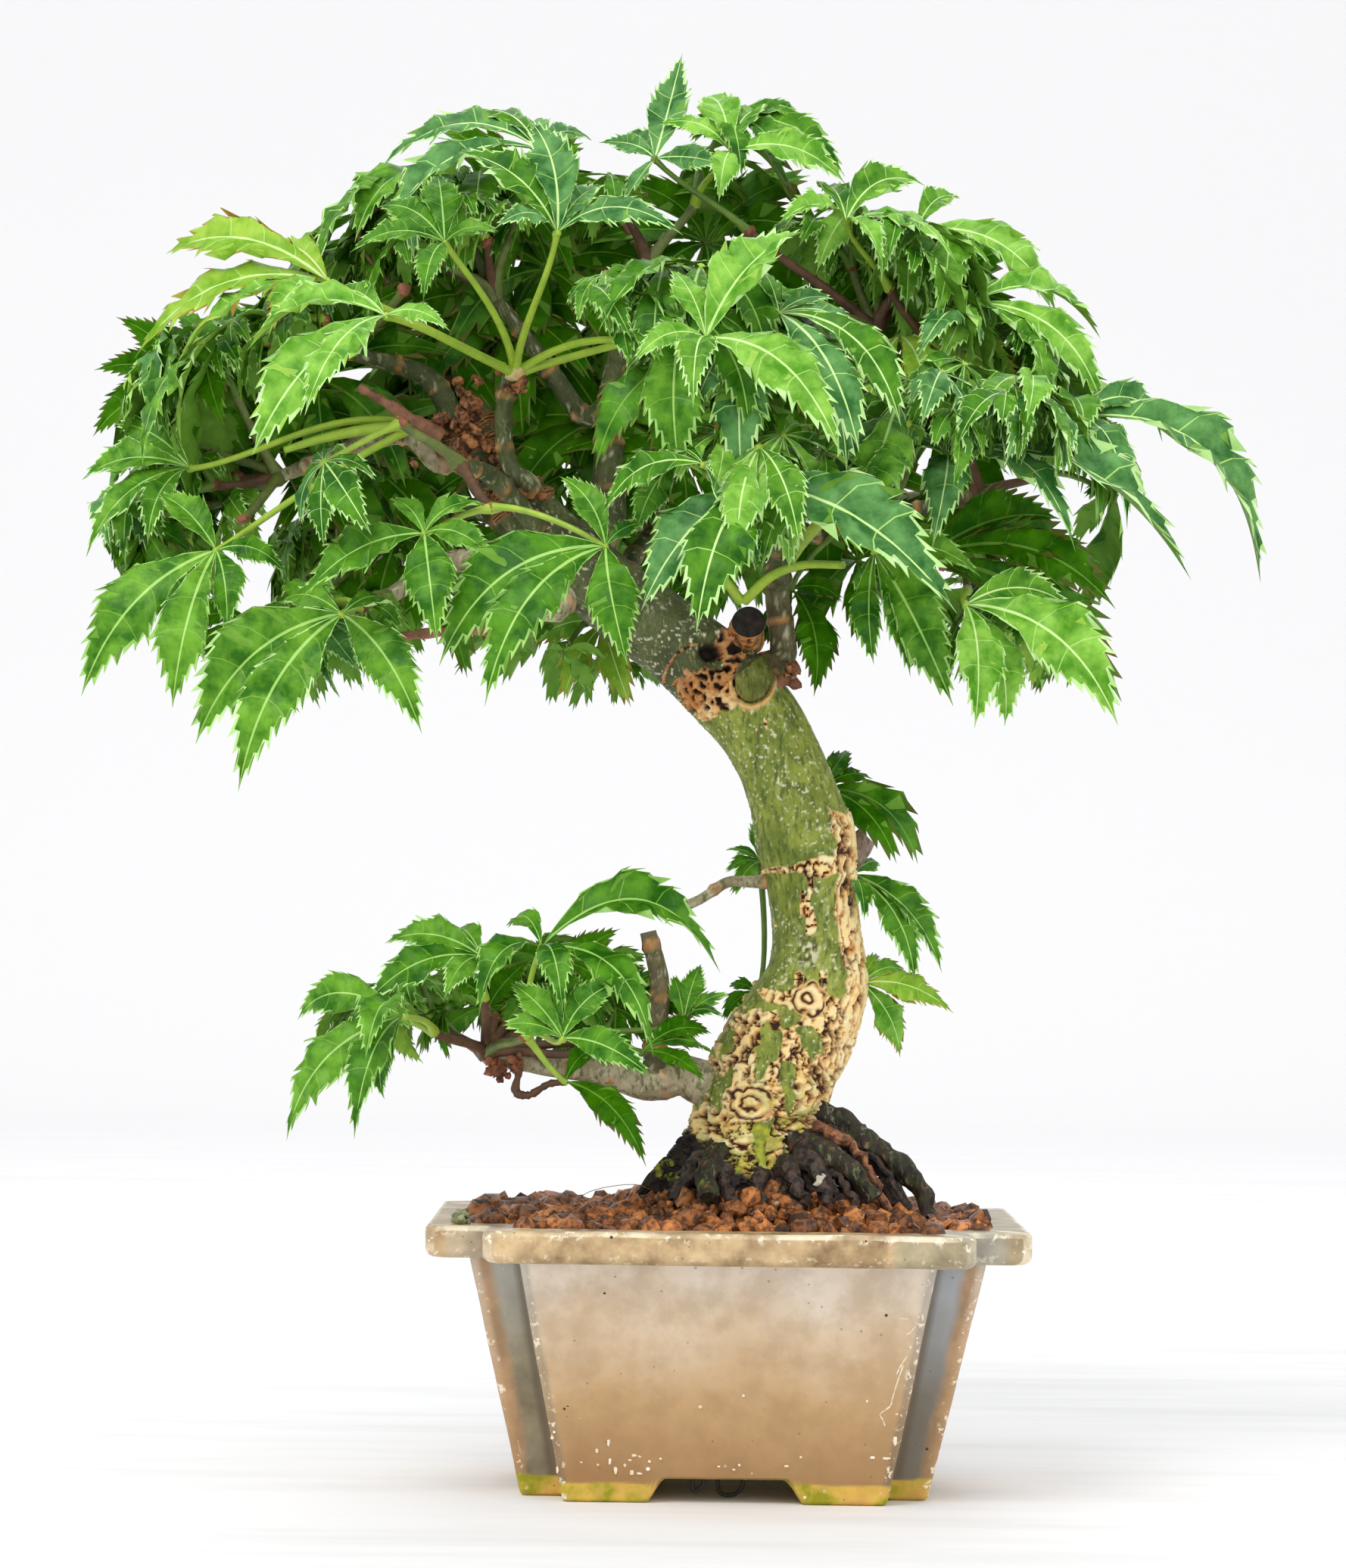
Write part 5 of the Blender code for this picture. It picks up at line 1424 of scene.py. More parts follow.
def lobe_surface(rows, base, tip, axis, arch, width, webs, fold, twist, ripple, bend, draw):
    """Points of a lobe between its base and tip.

    The midrib is a parabola, raised by arch times its length along the axis and by HANG of it
    towards the sky, and bent sideways.  Half width is s^0.85 (1 - s)^1.55, narrowed near the
    base, and teeth stand out from it, deeper in the outer half.  A point is the midrib plus its
    distance across, plus a rise: fold times that distance, less its square, plus waves, puckers
    between the side veins and half the lens's thickness.
    """
    chord = tip - base
    length = size_of(chord) * 1.06
    lift = unit(axis - np.dot(axis, unit(chord)) * unit(chord))
    rise = UP - np.dot(UP, unit(chord)) * unit(chord)
    out = unit(np.cross(lift, chord))
    middle = base + 0.46 * chord + length * (arch * lift + HANG * rise + bend * out)
    s, tooth, lean, _ = (column[:, None] for column in rows.T)
    full = width * s ** 0.85 * (1 - s) ** 1.55 / 0.2145
    depth = (0.016 + 0.026 * ease(0.2, 0.45, s)) * (1 - s) ** 0.5 * ease(0.08, 0.2, s) \
        * draw.uniform(0.55, 1.3, s.shape)
    rib = 0.0085 * (1 - 0.8 * s) + 0.0012
    zero = np.zeros_like(s)

    def side_columns(web):
        """Margin, inner margin, middle and rib distances on one side."""
        wedge = s * math.tan(web) * 1.15 + 0.008
        side = -np.log(np.exp(-60 * wedge) + np.exp(-60 * full)) / 60
        side = np.maximum(side, 0.0008)
        margin = side * 0.94 + depth * tooth
        inner = np.maximum(margin - MARGIN_HIGHLIGHT_WIDTH * (1 + 0.5 * tooth), margin * 0.80)
        return margin, inner, side * 0.52, np.minimum(rib, side * 0.3)

    left, right = (side_columns(web) for web in webs)
    across = np.hstack([-left[0], -left[1], -left[2], -left[3], zero,
                        right[3], right[2], right[1], right[0], right[1], zero, -left[1]])
    is_edge = np.array([1, 0.35, 0, 0, 0, 0, 0, 0.35, 1, 0.35, 0, 0.35])
    sign = np.array([1, 1, 1, 0.6, 1, 0.6, 1, 1, 1, -1, -1, -1])
    lens = np.array([0, 0.25, 0.8, 1, 1.3, 1, 0.8, 0.25, 0, 0.25, 1.3, 0.25])
    reach = np.abs(across)
    at = np.clip(s + 0.72 * reach * (1 - s) + lean * is_edge, 0, 1)
    at = at[..., None]
    spine = (1 - at) ** 2 * base + 2 * at * (1 - at) * middle + at ** 2 * tip
    along = unit((1 - at) * (middle - base) + at * (tip - middle))
    sideways = unit(out - np.sum(along * out, axis=-1, keepdims=True) * along)
    normal = np.cross(along, sideways)
    cos, sin = np.cos(twist * at), np.sin(twist * at)
    sideways, normal = cos * sideways + sin * normal, cos * normal - sin * sideways
    at = at[..., 0]
    waves = 0.034 * np.sin(2 * math.pi * 4.5 * at + ripple + np.sign(across)) \
        + 0.016 * np.sin(2 * math.pi * 10 * at + 2 * ripple)
    pucker = 0.009 * (1 + np.cos(2 * math.pi * 4.3 * (s ** 0.93) + 1)) \
        * np.array([0, 0.3, 1, 0, 0, 0, 1, 0.3, 0, 0.3, 0, 0.3])
    rise = fold * reach - 1.3 * reach ** 2 + waves * (reach / LOBE_WIDTH) * ease(0.1, 0.3, at) \
        + pucker * ease(0.12, 0.3, s) * ease(1, 0.8, s)
    height = length * rise + 0.5 * LEAF_THICKNESS * sign * lens * ease(0, 0.06, 1 - s)
    return spine + (across * length)[..., None] * sideways + height[..., None] * normal


def add_leaf(stock, base, tips, axis, tone, draw, arch, plain=False):
    """A leaf: a lobe to each tip, in order round its axis; a plain one has small lobes only.

    The webs between lobes are half the angle between neighbours.
    """
    ways = unit(tips - base)
    turns = [math.acos(float(np.clip(np.dot(a, b), -1, 1))) / 2
             for a, b in zip(ways[:-1], ways[1:])]
    webs = np.clip(np.array((OPEN_SIDE, *turns, OPEN_SIDE)), *WEB_LIMITS)
    for number, tip in enumerate(tips):
        length = size_of(tip - base)
        small = plain or length < SMALL_LOBE
        rows, columns, quads, kind = LOBE_KINDS[int(small)]
        wide = LOBE_WIDTH * draw.uniform(0.82, 1.12) * (1.15 if small else 1) * (
            1 - 0.16 * float(ease(30, 46, length)))
        points = lobe_surface(
            rows, base, tip, axis, arch * draw.uniform(0.75, 1.25), wide, webs[number:number + 2],
            math.tan(math.radians(draw.uniform(4, 34))), draw.uniform(-0.6, 0.6),
            draw.uniform(0, 6.3), draw.uniform(-0.09, 0.09), draw)
        stock.add(points[:, columns], quads, finish_numbers(tone, kind, draw))


# Each tone: three blades dealt out to its lobes, then midribs, margins, underside, side veins.
# Margins are a painted highlight; the dark tone is a darker copy, painted shade for leaves in shade.
TONES = {name: ([LEAF_LOOKS.index(blade) for blade in looks[:3]],
                *(LEAF_LOOKS.index(look) for look in looks[3:]))
         for name, *looks in read_rows("""
deep leaf_deep leaf_mid leaf_deep, vein_soft margin_soft under_mid vein_dim
mid leaf_mid leaf_deep leaf_mid, vein_soft margin_pale under_mid vein_dim
blue leaf_blue leaf_blue leaf_deep, vein_pale margin_pale under_mid vein_soft
bright leaf_bright leaf_mid leaf_bright, vein_pale margin_pale under_light vein_soft
yellow leaf_yellow leaf_bright leaf_yellow, vein_pale margin_warm under_light vein_soft
dark leaf_dark leaf_deep leaf_dark, vein_dim margin_dark under_mid leaf_mid
""")}


def finish_numbers(tone, kind, draw):
    """The finish of each face, by its kind and the leaf's tone."""
    blades, *others = TONES[tone]
    return np.array([blades[draw.integers(3)], *others])[kind]


# ---- where the leaves grow ----
# Leaves that make the outline: spray, tone, arch if it is not USUAL_ARCH, the end of the stalk
# (x, z, y) and the tips of the lobes in order.
# Key leaves in the dark tone are painted in shade.
KEY_LEAVES = read_rows("""
crown_top_right blue -0.08, -15 227 -10, -20 219 -14, -25 231 -2, -20 234 4, -10.5 247 -2, -3 225 -16
crown_apex deep, -2.5 235 -4, 18 225 -6, 13 233 2, 7 226 -12, 0 223 -14, -9 230 -10
crown_apex bright, -2 228 -12, -15 233 -8, -6 240 2, 5 237 0, 18 223 -10, -4 218 -20
crown_apex dark, 3 220 12, -13 224 10, -7 228 18, 4 230 22, -5 214 4
crown_upper_right bright, 18 216 -14, 6 214 -22, 14 223 -2, 32 224 -4, 37 208 -18, 24 207 -24
crown_upper_right bright, 31 217 2, 39 224 10, 56 202 2, 44 210 -2, 30 203 -6
crown_right bright, 40 203 -8, 46 206 2, 63 198 -2, 63 185 -8, 53 186 -14, 34 191 -20
crown_right yellow, 28 198 -2, 51 183 -4, 47 194 6, 33 181 -12, 22 183 -8
crown_right blue 0.42, 57 183 -10, 90 155 -12, 74 180 -2, 66 163 -22, 50 169 -22
crown_right blue 0.32, 35 175 -24, 33 182 -14, 76 154 -30, 56 158 -36, 32 158 -38, 20 169 -26, 21 180 -18
crown_right_low dark, 32 158 -16, 56 166 -6, 63 158 -10, 65 150 -14, 66 134 -16, 61 136 -10
crown_right_low bright, 38 149 -34, 56 149 -30, 63 129 -40, 45 129 -30, 39 128 -44
crown_front_right deep, 23 158 -28, 41 154 -28, 36 132 -36, 29 137 -32, 23 139 -30, 22 149 -24
crown_front_centre blue, 2 167 -48, -1 178 -42, 5 177 -40, 35 146 -58, -7 142 -62, -16 146 -52
crown_front_upper bright, -6 191 -50, -12 203 -44, 10 210 -42, 16 171 -60, -8 178 -64, -18 186 -54
crown_front_right blue, 6 196 -44, 3 204 -38, 15 199 -40, 21 189 -44, 26 177 -50, 19 172 -56
crown_front_left deep, -22 157 -46, -30 169 -40, -49 137 -46, -41 130 -56, -18 137 -54, -16 161 -44
crown_front_left deep, -52 159 -42, -42 164 -38, -58 165 -36, -72 148 -42, -49 140 -52, -40 154 -48
crown_left_low mid, -66 146 -34, -58 148 -26, -52 126 -40, -82 116 -42, -90 124 -34, -77 148 -26
crown_left deep, -88 157 -26, -110 132 -28, -94 130 -34, -85 142 -34, -76 153 -26, -99 167 -20
crown_left mid, -94 172 -14, -108 180 -8, -113 170 -10, -111 156 -18, -100 158 -22
crown_upper_left yellow, -70 203 -24, -79 192 -34, -95 188 -28, -103 190 -20, -99 209 -12, -82 210 -12
crown_front_left bright, -59 195 -42, -48 192 -46, -71 177 -54, -80 171 -48, -82 189 -40, -68 200 -34
crown_upper_left deep, -50 209 -30, -66 207 -30, -62 216 -22, -52 222 -20, -41 211 -30, -53 198 -38
crown_top_left blue, -35 228 -12, -61 213 -14, -63 225 -6, -49 234 2, -37 234 0, -26 231 -4
crown_top_right blue, -31 210 -36, -41 209 -46, -48 224 -32, -36 230 -28, -23 219 -30, -10 209 -42
crown_left dark, -92 195 -6, -98 200 -2, -103 187 -4, -104 175 -6, -88 179 -14
crown_left_back dark, -84 146 -6, -96 136 -6, -90 137 -10, -96 144 -2
crown_front_right dark, 10 154 6, 14 135 2, 5 144 4, 19 152 8
crown_back_centre yellow, -23 148 14, -30 134 12, -18 133 10, -36 144 16
low_outer mid, -42 89 -26, -59 91 -20, -62 80 -30, -48 82 -34, -47 93 -16
low_outer deep 0.46, -55 79 -32, -73 78 -26, -74 58 -32, -62 59 -42, -60 72 -48, -58 65 -28
low_outer dark, -49 80 -8, -52 72 -8, -48 71 -11, -53 78 -4
low_inner deep 0.5, -32 91 -30, -42 79 -38, -38 94 -22, -2 87 -26, -13 73 -36, -28 80 -42
low_inner deep, -28 76 -40, -38 78 -40, -37 85 -36, -29 90 -34, -17 86 -38, -13 70 -46
low_inner dark, -28 68 -18, -14 54 -24, -23 73 -12
low_back deep, -8 78 -4, -10 86 0, -5 88 2, 0 83 -2, -1 79 -8
low_back dark, -15 73 -10, -3 76 -4, -2 72 -8, -4 68 -14
trunk_left deep, 5 106 8, 4 114 12, -1 108 8, -1 104 6, 0 100 3
trunk_left dark, 5 83 6, 0 84 10, -1 78 4, 3 76 1
side_upper dark, 16 119 10, 21 126 16, 25 121 14, 33 106 10, 29 106 5
side_middle deep, 21 104 2, 26 106 8, 37 87 2, 32 85 -3, 23 96 -6
side_lower yellow, 23 85 0, 26 90 4, 31 87 4, 39 80 -2, 30 72 5
""")

# Sprays: bough, how many leaves grow besides the key leaves (times MORE_LEAVES), centre, radii
# (across, deep, thick), and the way the thickness faces.
MORE_LEAVES = 2.9
CROWN_TONES = ("deep", "deep", "blue", "bright", "deep", "blue", "mid")
SHADE_TONES = ("dark", "deep", "dark", "deep")
SPRAYS = {name: (bough, count, *np.reshape(numbers, (3, 3)))
          for name, bough, count, *numbers in read_rows("""
crown_apex bough_apex 5, -12 2 224, 24 25 12, 0 0 1
crown_top_left bough_top_left 5, -52 4 218, 24 25 12, -0.3 0 1
crown_top_right right_stem 5, 26 1 213, 23 25 11, 0.15 0 1
crown_upper_right bough_upper_right 4, 46 2 194, 21 26 12, 0.6 0 0.8
crown_upper_left bough_upper_left 4, -84 0 197, 23 25 12, -0.4 0 1
crown_left bough_left 4, -97 2 166, 14 25 19, -0.5 0 1
crown_left_low bough_left_low 3, -74 -12 144, 22 22 12, -0.2 -0.3 1
crown_left_back bough_left_back 6, -70 35 160, 25 20 15, -0.2 0.8 0.5
crown_front_left bough_front_left 5, -53 -40 172, 26 18 14, 0 -0.8 0.5
crown_front_upper bough_front_upper 6, -12 -36 196, 28 17 13, 0 -0.7 0.7
crown_front_centre bough_front_centre 3, 2 -47 167, 24 17 12, 0 -0.8 0.5
crown_front_right bough_front_right 5, 39 -34 180, 22 17 13, 0.2 -0.8 0.6
crown_right bough_right 3, 64 -3 169, 23 24 11, 0.35 0 1
crown_right_low bough_right_low 3, 47 5 148, 20 22 11, 0.1 0 1
crown_right_back bough_right_back 6, 45 42 172, 25 18 14, 0.2 0.8 0.5
crown_back_upper bough_back_upper 6, -6 38 197, 28 17 13, 0 0.7 0.7
crown_back_left bough_back_left 6, -50 37 195, 24 17 12, -0.2 0.7 0.7
crown_back_centre bough_back_centre 6, -14 50 166, 26 17 13, 0 0.8 0.5
crown_low_centre bough_back_centre 1, -31 16 142, 20 17 9, 0 0 1
low_outer low_bough 2, -58 -8 79, 16 17 9, -0.25 0 1
low_inner low_bough 0, -27 -13 84, 19 14 11, 0 -0.3 1
low_back low_bough 4, -32 15 83, 20 13 10, 0 0.3 1
side_upper trunk 0, 24 14 117, 8 10 8, 0 0 1
side_middle trunk 0, 30 14 97.5, 9 10 8, 0 0 1
side_lower trunk 0, 30 12 82, 8 10 7, 0 0 1
trunk_left trunk 0, -1 14 106, 6 8 8, 0 0 1
""")}
SIDE_SHOOTS = {"side_upper": (0.72, (19, 9, 117)), "side_middle": (0.53, (22, 8, 102)),
               "side_lower": (0.40, (23, 7, 86)), "trunk_left": (0.62, (5, 9, 106))}

# Where light shows through the crown: middle (x, z) and radius, seen on the plane y = 0.
OPENINGS = read_points("""
-14.5 224.5 5.5, -23.5 229.5 2.8, -63.5 191 2.4, -9 165 4.8, 33 173.5 3.2, 43 171 3, 50 171 2.6
-94 203 5.2, -86 204 3.8, -83 152 3.4, -67 153 3, -53 152 4, 45 192 2.6, 59 190 4, 15 162 2.2
45 210 4.5, -105 144 3, -88 138 4.5, 28 161 2.4, 71 163 5, 80 161 5.5, 56 168 3.5
""", 3)
# Places in front of the shoot that leaves keep clear of, as middle and radius.
CLEARINGS = read_points("-43 185 9, -41 171 7, -27 191 7, -34 198 6, -55 181 5, 2 147 9, -7 137 9", 3)
# The crown's reach from its middle, as (degrees above the right, distance).
REACH = read_points("""
-40 92, -30 88, -12 77, -6 100, 0 95, 12 78, 30 74, 54 61, 66 63, 90 66, 102 58, 120 71, 132 72
144 67, 156 90, 174 95, 198 104, 212 86, 220 84
""", 2)
# Leaves that hang inside the crown, in the dark tone as painted shade: spray, middle (x, y, z)
# and length of the lobes.
INNER_LEAVES = read_rows("""
crown_back_left -34 14 211, 24
crown_back_left -40 18 203, 26
crown_upper_left -74 8 190, 26
crown_left_back -84 12 180, 26
crown_left_back -66 14 176, 24
crown_left -97 6 188, 22
crown_left_back -60 16 163, 24
crown_back_upper -6 14 216, 24
crown_back_upper -24 16 184, 26
crown_back_centre -28 20 176, 24
crown_right_back 16 14 172, 24
crown_right_back 22 16 160, 22
crown_back_upper 14 12 200, 24
crown_upper_right 34 10 204, 22
crown_back_centre -10 16 178, 24
crown_right_back 36 16 184, 24
crown_back_left -54 16 200, 24
crown_left_back -52 18 154, 20
crown_top_left -40 10 222, 20
low_back -30 6 84, 16
low_back -20 6 80, 16
low_back -42 4 80, 14
""")
CROWN_MIDDLE = np.array((-12, 0, 175))
LOBE_TURNS = (-128, -84, -42, 0, 42, 84, 128)      # degrees from the way out
USUAL_ARCH = 0.22


def seen_at(points):
    """Where the line of sight to each point crosses y = 0, as (x, z)."""
    scale = -EYE[1] / (points[..., 1:2] - EYE[1])
    return EYE[::2] + (points[..., ::2] - EYE[::2]) * scale


def axes_of(facing):
    """Across, deep and facing: three unit vectors square to each other."""
    facing = unit(facing)
    deep = unit(np.array((0, 1, 0)) - facing[1] * facing) if abs(facing[1]) < 0.75 \
        else unit(UP - facing[2] * facing)
    return np.array([unit(np.cross(deep, facing)), deep, facing])


def inside_crown(points, swell):
    """True within any spray's ball, its radii times swell."""
    found = np.zeros(points.shape[:-1], dtype=bool)
    for _, _, centre, radii, facing in SPRAYS.values():
        local = (points - centre) @ axes_of(facing).T
        found |= np.sum((local / (radii * swell)) ** 2, axis=-1) < 1
    return found


def within_reach(seen):
    """True inside the crown's outline, and below the crown."""
    right, up = seen - CROWN_MIDDLE[[0, 2]]
    turn = math.degrees(math.atan2(up, right))
    turn += 360 if turn < -90 else 0
    return math.hypot(right, up) < np.interp(turn, *REACH.T, left=999, right=999)


def past(seen, rounds):
    """How far seen places are outside the nearest round (x, z, radius)."""
    return np.min([np.hypot(*(seen - (x, z)).T) - radius for x, z, radius in rounds], axis=0)


def free_tip(base, tip):
    """Draws a tip back until it is inside the crown and clear of openings."""
    parts = np.linspace(0, 1, 9)[1:]
    for reach in (1, 0.9, 0.8, 0.7, 0.6, 0.5, 0.4):
        line = base + (tip - base) * reach * parts[:, None]
        seen = seen_at(line)
        shines = past(seen, OPENINGS) < 1.5
        covers = (past(seen, CLEARINGS) < 0) & (line[:, 1] < 2)
        if not np.any(shines | covers) and within_reach(seen[-1]) \
                and inside_crown(line[-1:], 1.12)[0]:
            return base + (tip - base) * reach
    return None


def grown_leaf(base, out, draw, size):
    """Tips and axis of a leaf that hangs outwards from the end of its stalk.

    The axis is between up and outwards.  Lobes leave square to it by LOBE_TURNS, and droop.
    """
    tilt = draw.uniform(0.3, 0.9)
    axis = unit(UP * 0.9 + out * tilt + draw.normal(0, 0.16, 3))
    lead = unit(out - np.dot(out, axis) * axis + draw.normal(0, 0.22, 3))
    lead = unit(lead - np.dot(lead, axis) * axis)
    cross = np.cross(axis, lead)
    tips = []
    for degrees, part in zip(LOBE_TURNS, (0.34, 0.66, 0.92, 1, 0.92, 0.66, 0.34)):
        angle = math.radians(degrees + draw.normal(0, 5))
        droop = math.radians(draw.uniform(22, 58))
        way = math.cos(angle) * lead + math.sin(angle) * cross
        way = way * math.cos(droop) - axis * math.sin(droop) - UP * 0.12
        tips.append(base + unit(way) * size * part * draw.uniform(0.9, 1.1))
    return np.array(tips), axis


def key_axis(base, tips):
    """Axis of a leaf: the sum of cross products of neighbouring lobes."""
    ways = unit(tips - base)
    axis = np.sum(np.cross(ways[:-1], ways[1:]), axis=0)
    outward = np.array((0, -0.8, 1)) + 0.4 * unit(base - CROWN_MIDDLE)
    if size_of(axis) < 0.05:
        axis = outward
    if np.dot(axis, outward) < 0:
        axis, tips = -axis, tips[::-1]
    return unit(unit(axis) + 0.35 * unit(outward)), tips


def spread_ways(count, draw):
    """Directions spread over a ball by the golden angle, from a random start."""
    k = np.arange(count) + 0.5
    height = 1 - 2 * k / count
    angle = k * math.pi * (3 - math.sqrt(5)) + draw.uniform(0, 6.3)
    level = np.sqrt(1 - height ** 2)
    return np.column_stack([level * np.cos(angle), level * np.sin(angle), height])


def spray_leaves(name, draw):
    """Every leaf of a spray as (base, tips, axis, tone, arch): key leaves, then grown ones.

    Each grown leaf takes the place on the spray's ball that is furthest from the others.
    """
    _, count, centre, radii, facing = SPRAYS[name]
    leaves = []
    for spray, tone, *numbers in KEY_LEAVES:
        if spray == name:
            arch = numbers.pop(0) if len(numbers) % 3 else USUAL_ARCH
            base, *tips = np.reshape(numbers, (-1, 3))[:, (0, 2, 1)]
            axis, tips = key_axis(base, np.array(tips))
            leaves.append((base, tips, axis, tone, arch))
    for spray, *base, size in INNER_LEAVES:
        if spray == name:
            turns = np.radians(np.array((-130, -88, -44, 0, 44, 88, 130)) + draw.normal(0, 8, 7))
            ways = np.column_stack([np.sin(turns), draw.uniform(-0.5, 0.1, 7), -np.cos(turns)])
            tips = base + unit(ways) * (size * draw.uniform(0.7, 1, 7))[:, None]
            leaves.append((np.array(base), tips, unit((0.1, -1, 0.4)), "dark", USUAL_ARCH))
    middles = [leaf[0] * 0.6 + leaf[1].mean(axis=0) * 0.4 for leaf in leaves]
    ways = spread_ways(90, draw)
    ways = ways[ways[:, 2] > -0.35]
    axes = axes_of(facing)
    places = centre + (ways * radii * 0.62) @ axes
    outs = unit(ways / radii @ axes + 0.5 * unit(centre - CROWN_MIDDLE))
    for _ in range(round(count * MORE_LEAVES)):
        gaps = np.full(len(places), 99.0)
        for middle in middles:
            gaps = np.minimum(gaps, size_of(places - middle))
        for number in np.argsort(-gaps)[:12]:
            base, out = places[number], outs[number]
            tips, axis = grown_leaf(base, out, draw, draw.uniform(21, 33))
            ends = [free_tip(base, tip) for tip in tips]
            tips = np.array([end for end in ends if end is not None])
            if len(tips) >= 4:
                shade = base[2] < centre[2] - 2 or base[1] > 5
                tones = SHADE_TONES if shade else CROWN_TONES
                leaves.append((base, tips, axis, tones[draw.integers(len(tones))], USUAL_ARCH))
                middles.append(base * 0.6 + tips.mean(axis=0) * 0.4)
                break
    return leaves


# ---- sprays on their twigs ----
STALK_WIDTH = 0.62            # radius of a leaf stalk, mm
TWIG_WIDTH = 0.85
STALK_SIDES = 7

# Fans of stalks from the cut shoot and from the node beside it, by the key leaf they carry.
SHOOT_TIP = (-38.5, -9.5, 189.5)
SIDE_NODE = (-55.5, -5.5, 180.5)
FAN_LEAVES = {**dict.fromkeys(((-70, -24, 203), (-59, -42, 195), (-50, -30, 209), (-31, -36, 210),
                               (-6, -50, 191), (6, -44, 196)), SHOOT_TIP),
              **dict.fromkeys(((-94, -14, 172), (-88, -26, 157)), SIDE_NODE)}


def stalk_path(start, end, arrive, widths, draw, sag=0.10):
    """A stalk or twig: a cubic that arrives along the given direction."""
    start, end = np.asarray(start, float), np.asarray(end, float)
    length = size_of(end - start)
    first = start + (end - start) * 0.35 + UP * length * sag + draw.normal(0, 0.05, 3) * length
    last = end - unit(arrive) * length * 0.30
    t = np.linspace(0, 1, max(6, int(length / 2.2)))[:, None]
    path = (start * (1 - t) ** 3 + 3 * first * t * (1 - t) ** 2 + 3 * last * t ** 2 * (1 - t)
            + end * t ** 3)
    width = widths[0] + (widths[1] - widths[0]) * t
    width = width * (1 + 0.7 * np.exp(-t * length / 1.4) + 0.35 * np.exp(-(1 - t) * length / 1))
    return np.hstack([path, width])


def twig_ends(name, bases, paths):
    """Where the twigs of a spray start and end.

    Ends are leaves gathered in twos and threes and drawn towards the bough's end.
    """
    if name in SIDE_SHOOTS:
        part, node = SIDE_SHOOTS[name]
        return point_along(paths["trunk"], part)[0], np.array([node], dtype=float)
    start = paths[SPRAYS[name][0]][-1, :3]
    count = max(1, round(len(bases) / 2.6))
    chosen = [int(np.argmax(size_of(bases - start)))]
    while len(chosen) < count:
        gaps = np.min([size_of(bases - bases[k]) for k in chosen], axis=0)
        chosen.append(int(np.argmax(gaps)))
    owner = np.argmin([size_of(bases - bases[k]) for k in chosen], axis=0)
    return start, np.array([start + (bases[owner == k].mean(axis=0) - start) * 0.58
                            for k in range(count)])


def grow_spray(name, paths):
    """One spray: twigs to nodes among its leaves, and a stalk to each leaf."""
    draw = np.random.default_rng([7, *name.encode()])
    leaves = spray_leaves(name, draw)
    start, ends = twig_ends(name, np.array([leaf[0] for leaf in leaves]), paths)
    wood, stalks, blades = Stock(), Stock(), Stock()
    for end in ends:
        widths = (TWIG_WIDTH * 1.15, TWIG_WIDTH * 0.8)
        path = stalk_path(start, end, end - start + UP * 4, widths, draw)
        wood.add_tube(path, STALK_SIDES, int(draw.integers(2)))
        add_lumps(wood, end[None], TWIG_WIDTH * 1.5, 2, draw)
    for base, tips, axis, tone, arch in leaves:
        inward = unit(base - tips.mean(axis=0))
        fan = FAN_LEAVES.get(tuple(int(round(value)) for value in base))
        node = np.array(fan) if fan else ends[np.argmin(size_of(ends - base))]
        arrive = unit(unit(base - node) - 0.35 * inward + 0.25 * axis)
        widths = (STALK_WIDTH * 1.2, STALK_WIDTH * 0.8) if fan else (STALK_WIDTH, STALK_WIDTH * 0.7)
        look = 0 if fan or base[1] < -10 else 1
        stalks.add_tube(stalk_path(node, base - axis * 0.2, arrive, widths, draw), STALK_SIDES, look)
        add_lumps(stalks, (base - axis * 0.15)[None], 0.85, look, draw)
        add_leaf(blades, base, tips, axis, tone, draw, arch, plain=base[1] > 6)
    wood.piece("twigs_" + name, "twig_brown twig_green bud", "young_bark")
    stalks.piece("stalks_" + name, "stalk stalk_shade", "leaf")
    blades.piece("leaves_" + name, " ".join(LEAF_LOOKS), "leaf", [name], smooth=50)


# ---- small things ----
# Clusters of lumps: finish, middle, spread, how many and their size.
CLUSTERS = read_rows("""
lichen -45.2 -24 45, 1 1 0.5, 30 0.6
pebble 15.6 -15 51.6, 0 0 0, 1 1.2
pebble 8 -25 48.4, 0 0 0, 1 0.7
moss -10 -7 52.3, 1.5 1.5 0.9, 40 0.5
moss -2 -12 51.5, 3 1 0.8, 24 0.45
knob -47.5 -8 180, 2.8 1.5 3.6, 46 1.25
knob -38.5 -9.5 187.2, 1 1 0.7, 16 0.9
knob -39 -10 167.5, 2.6 1 1.4, 26 1
knob -56 -6.5 180.5, 1 1 0.8, 12 1
knob -43 -9 172.5, 1.8 1 1.6, 14 1
cut_wood -38.5 -10.2 189.6, 0.25 0.25 0.2, 5 1.5
bud -40.5 -7.5 70.2, 1.1 1.1 0.9, 11 1.2
bud -36.8 -7 70, 0.6 0.8 1.6, 9 1
bud -11.2 -1.5 97.2, 1 0.8 0.9, 9 1.1
knob 9.5 -5 138.6, 0.8 0.6 0.8, 6 0.8
""")
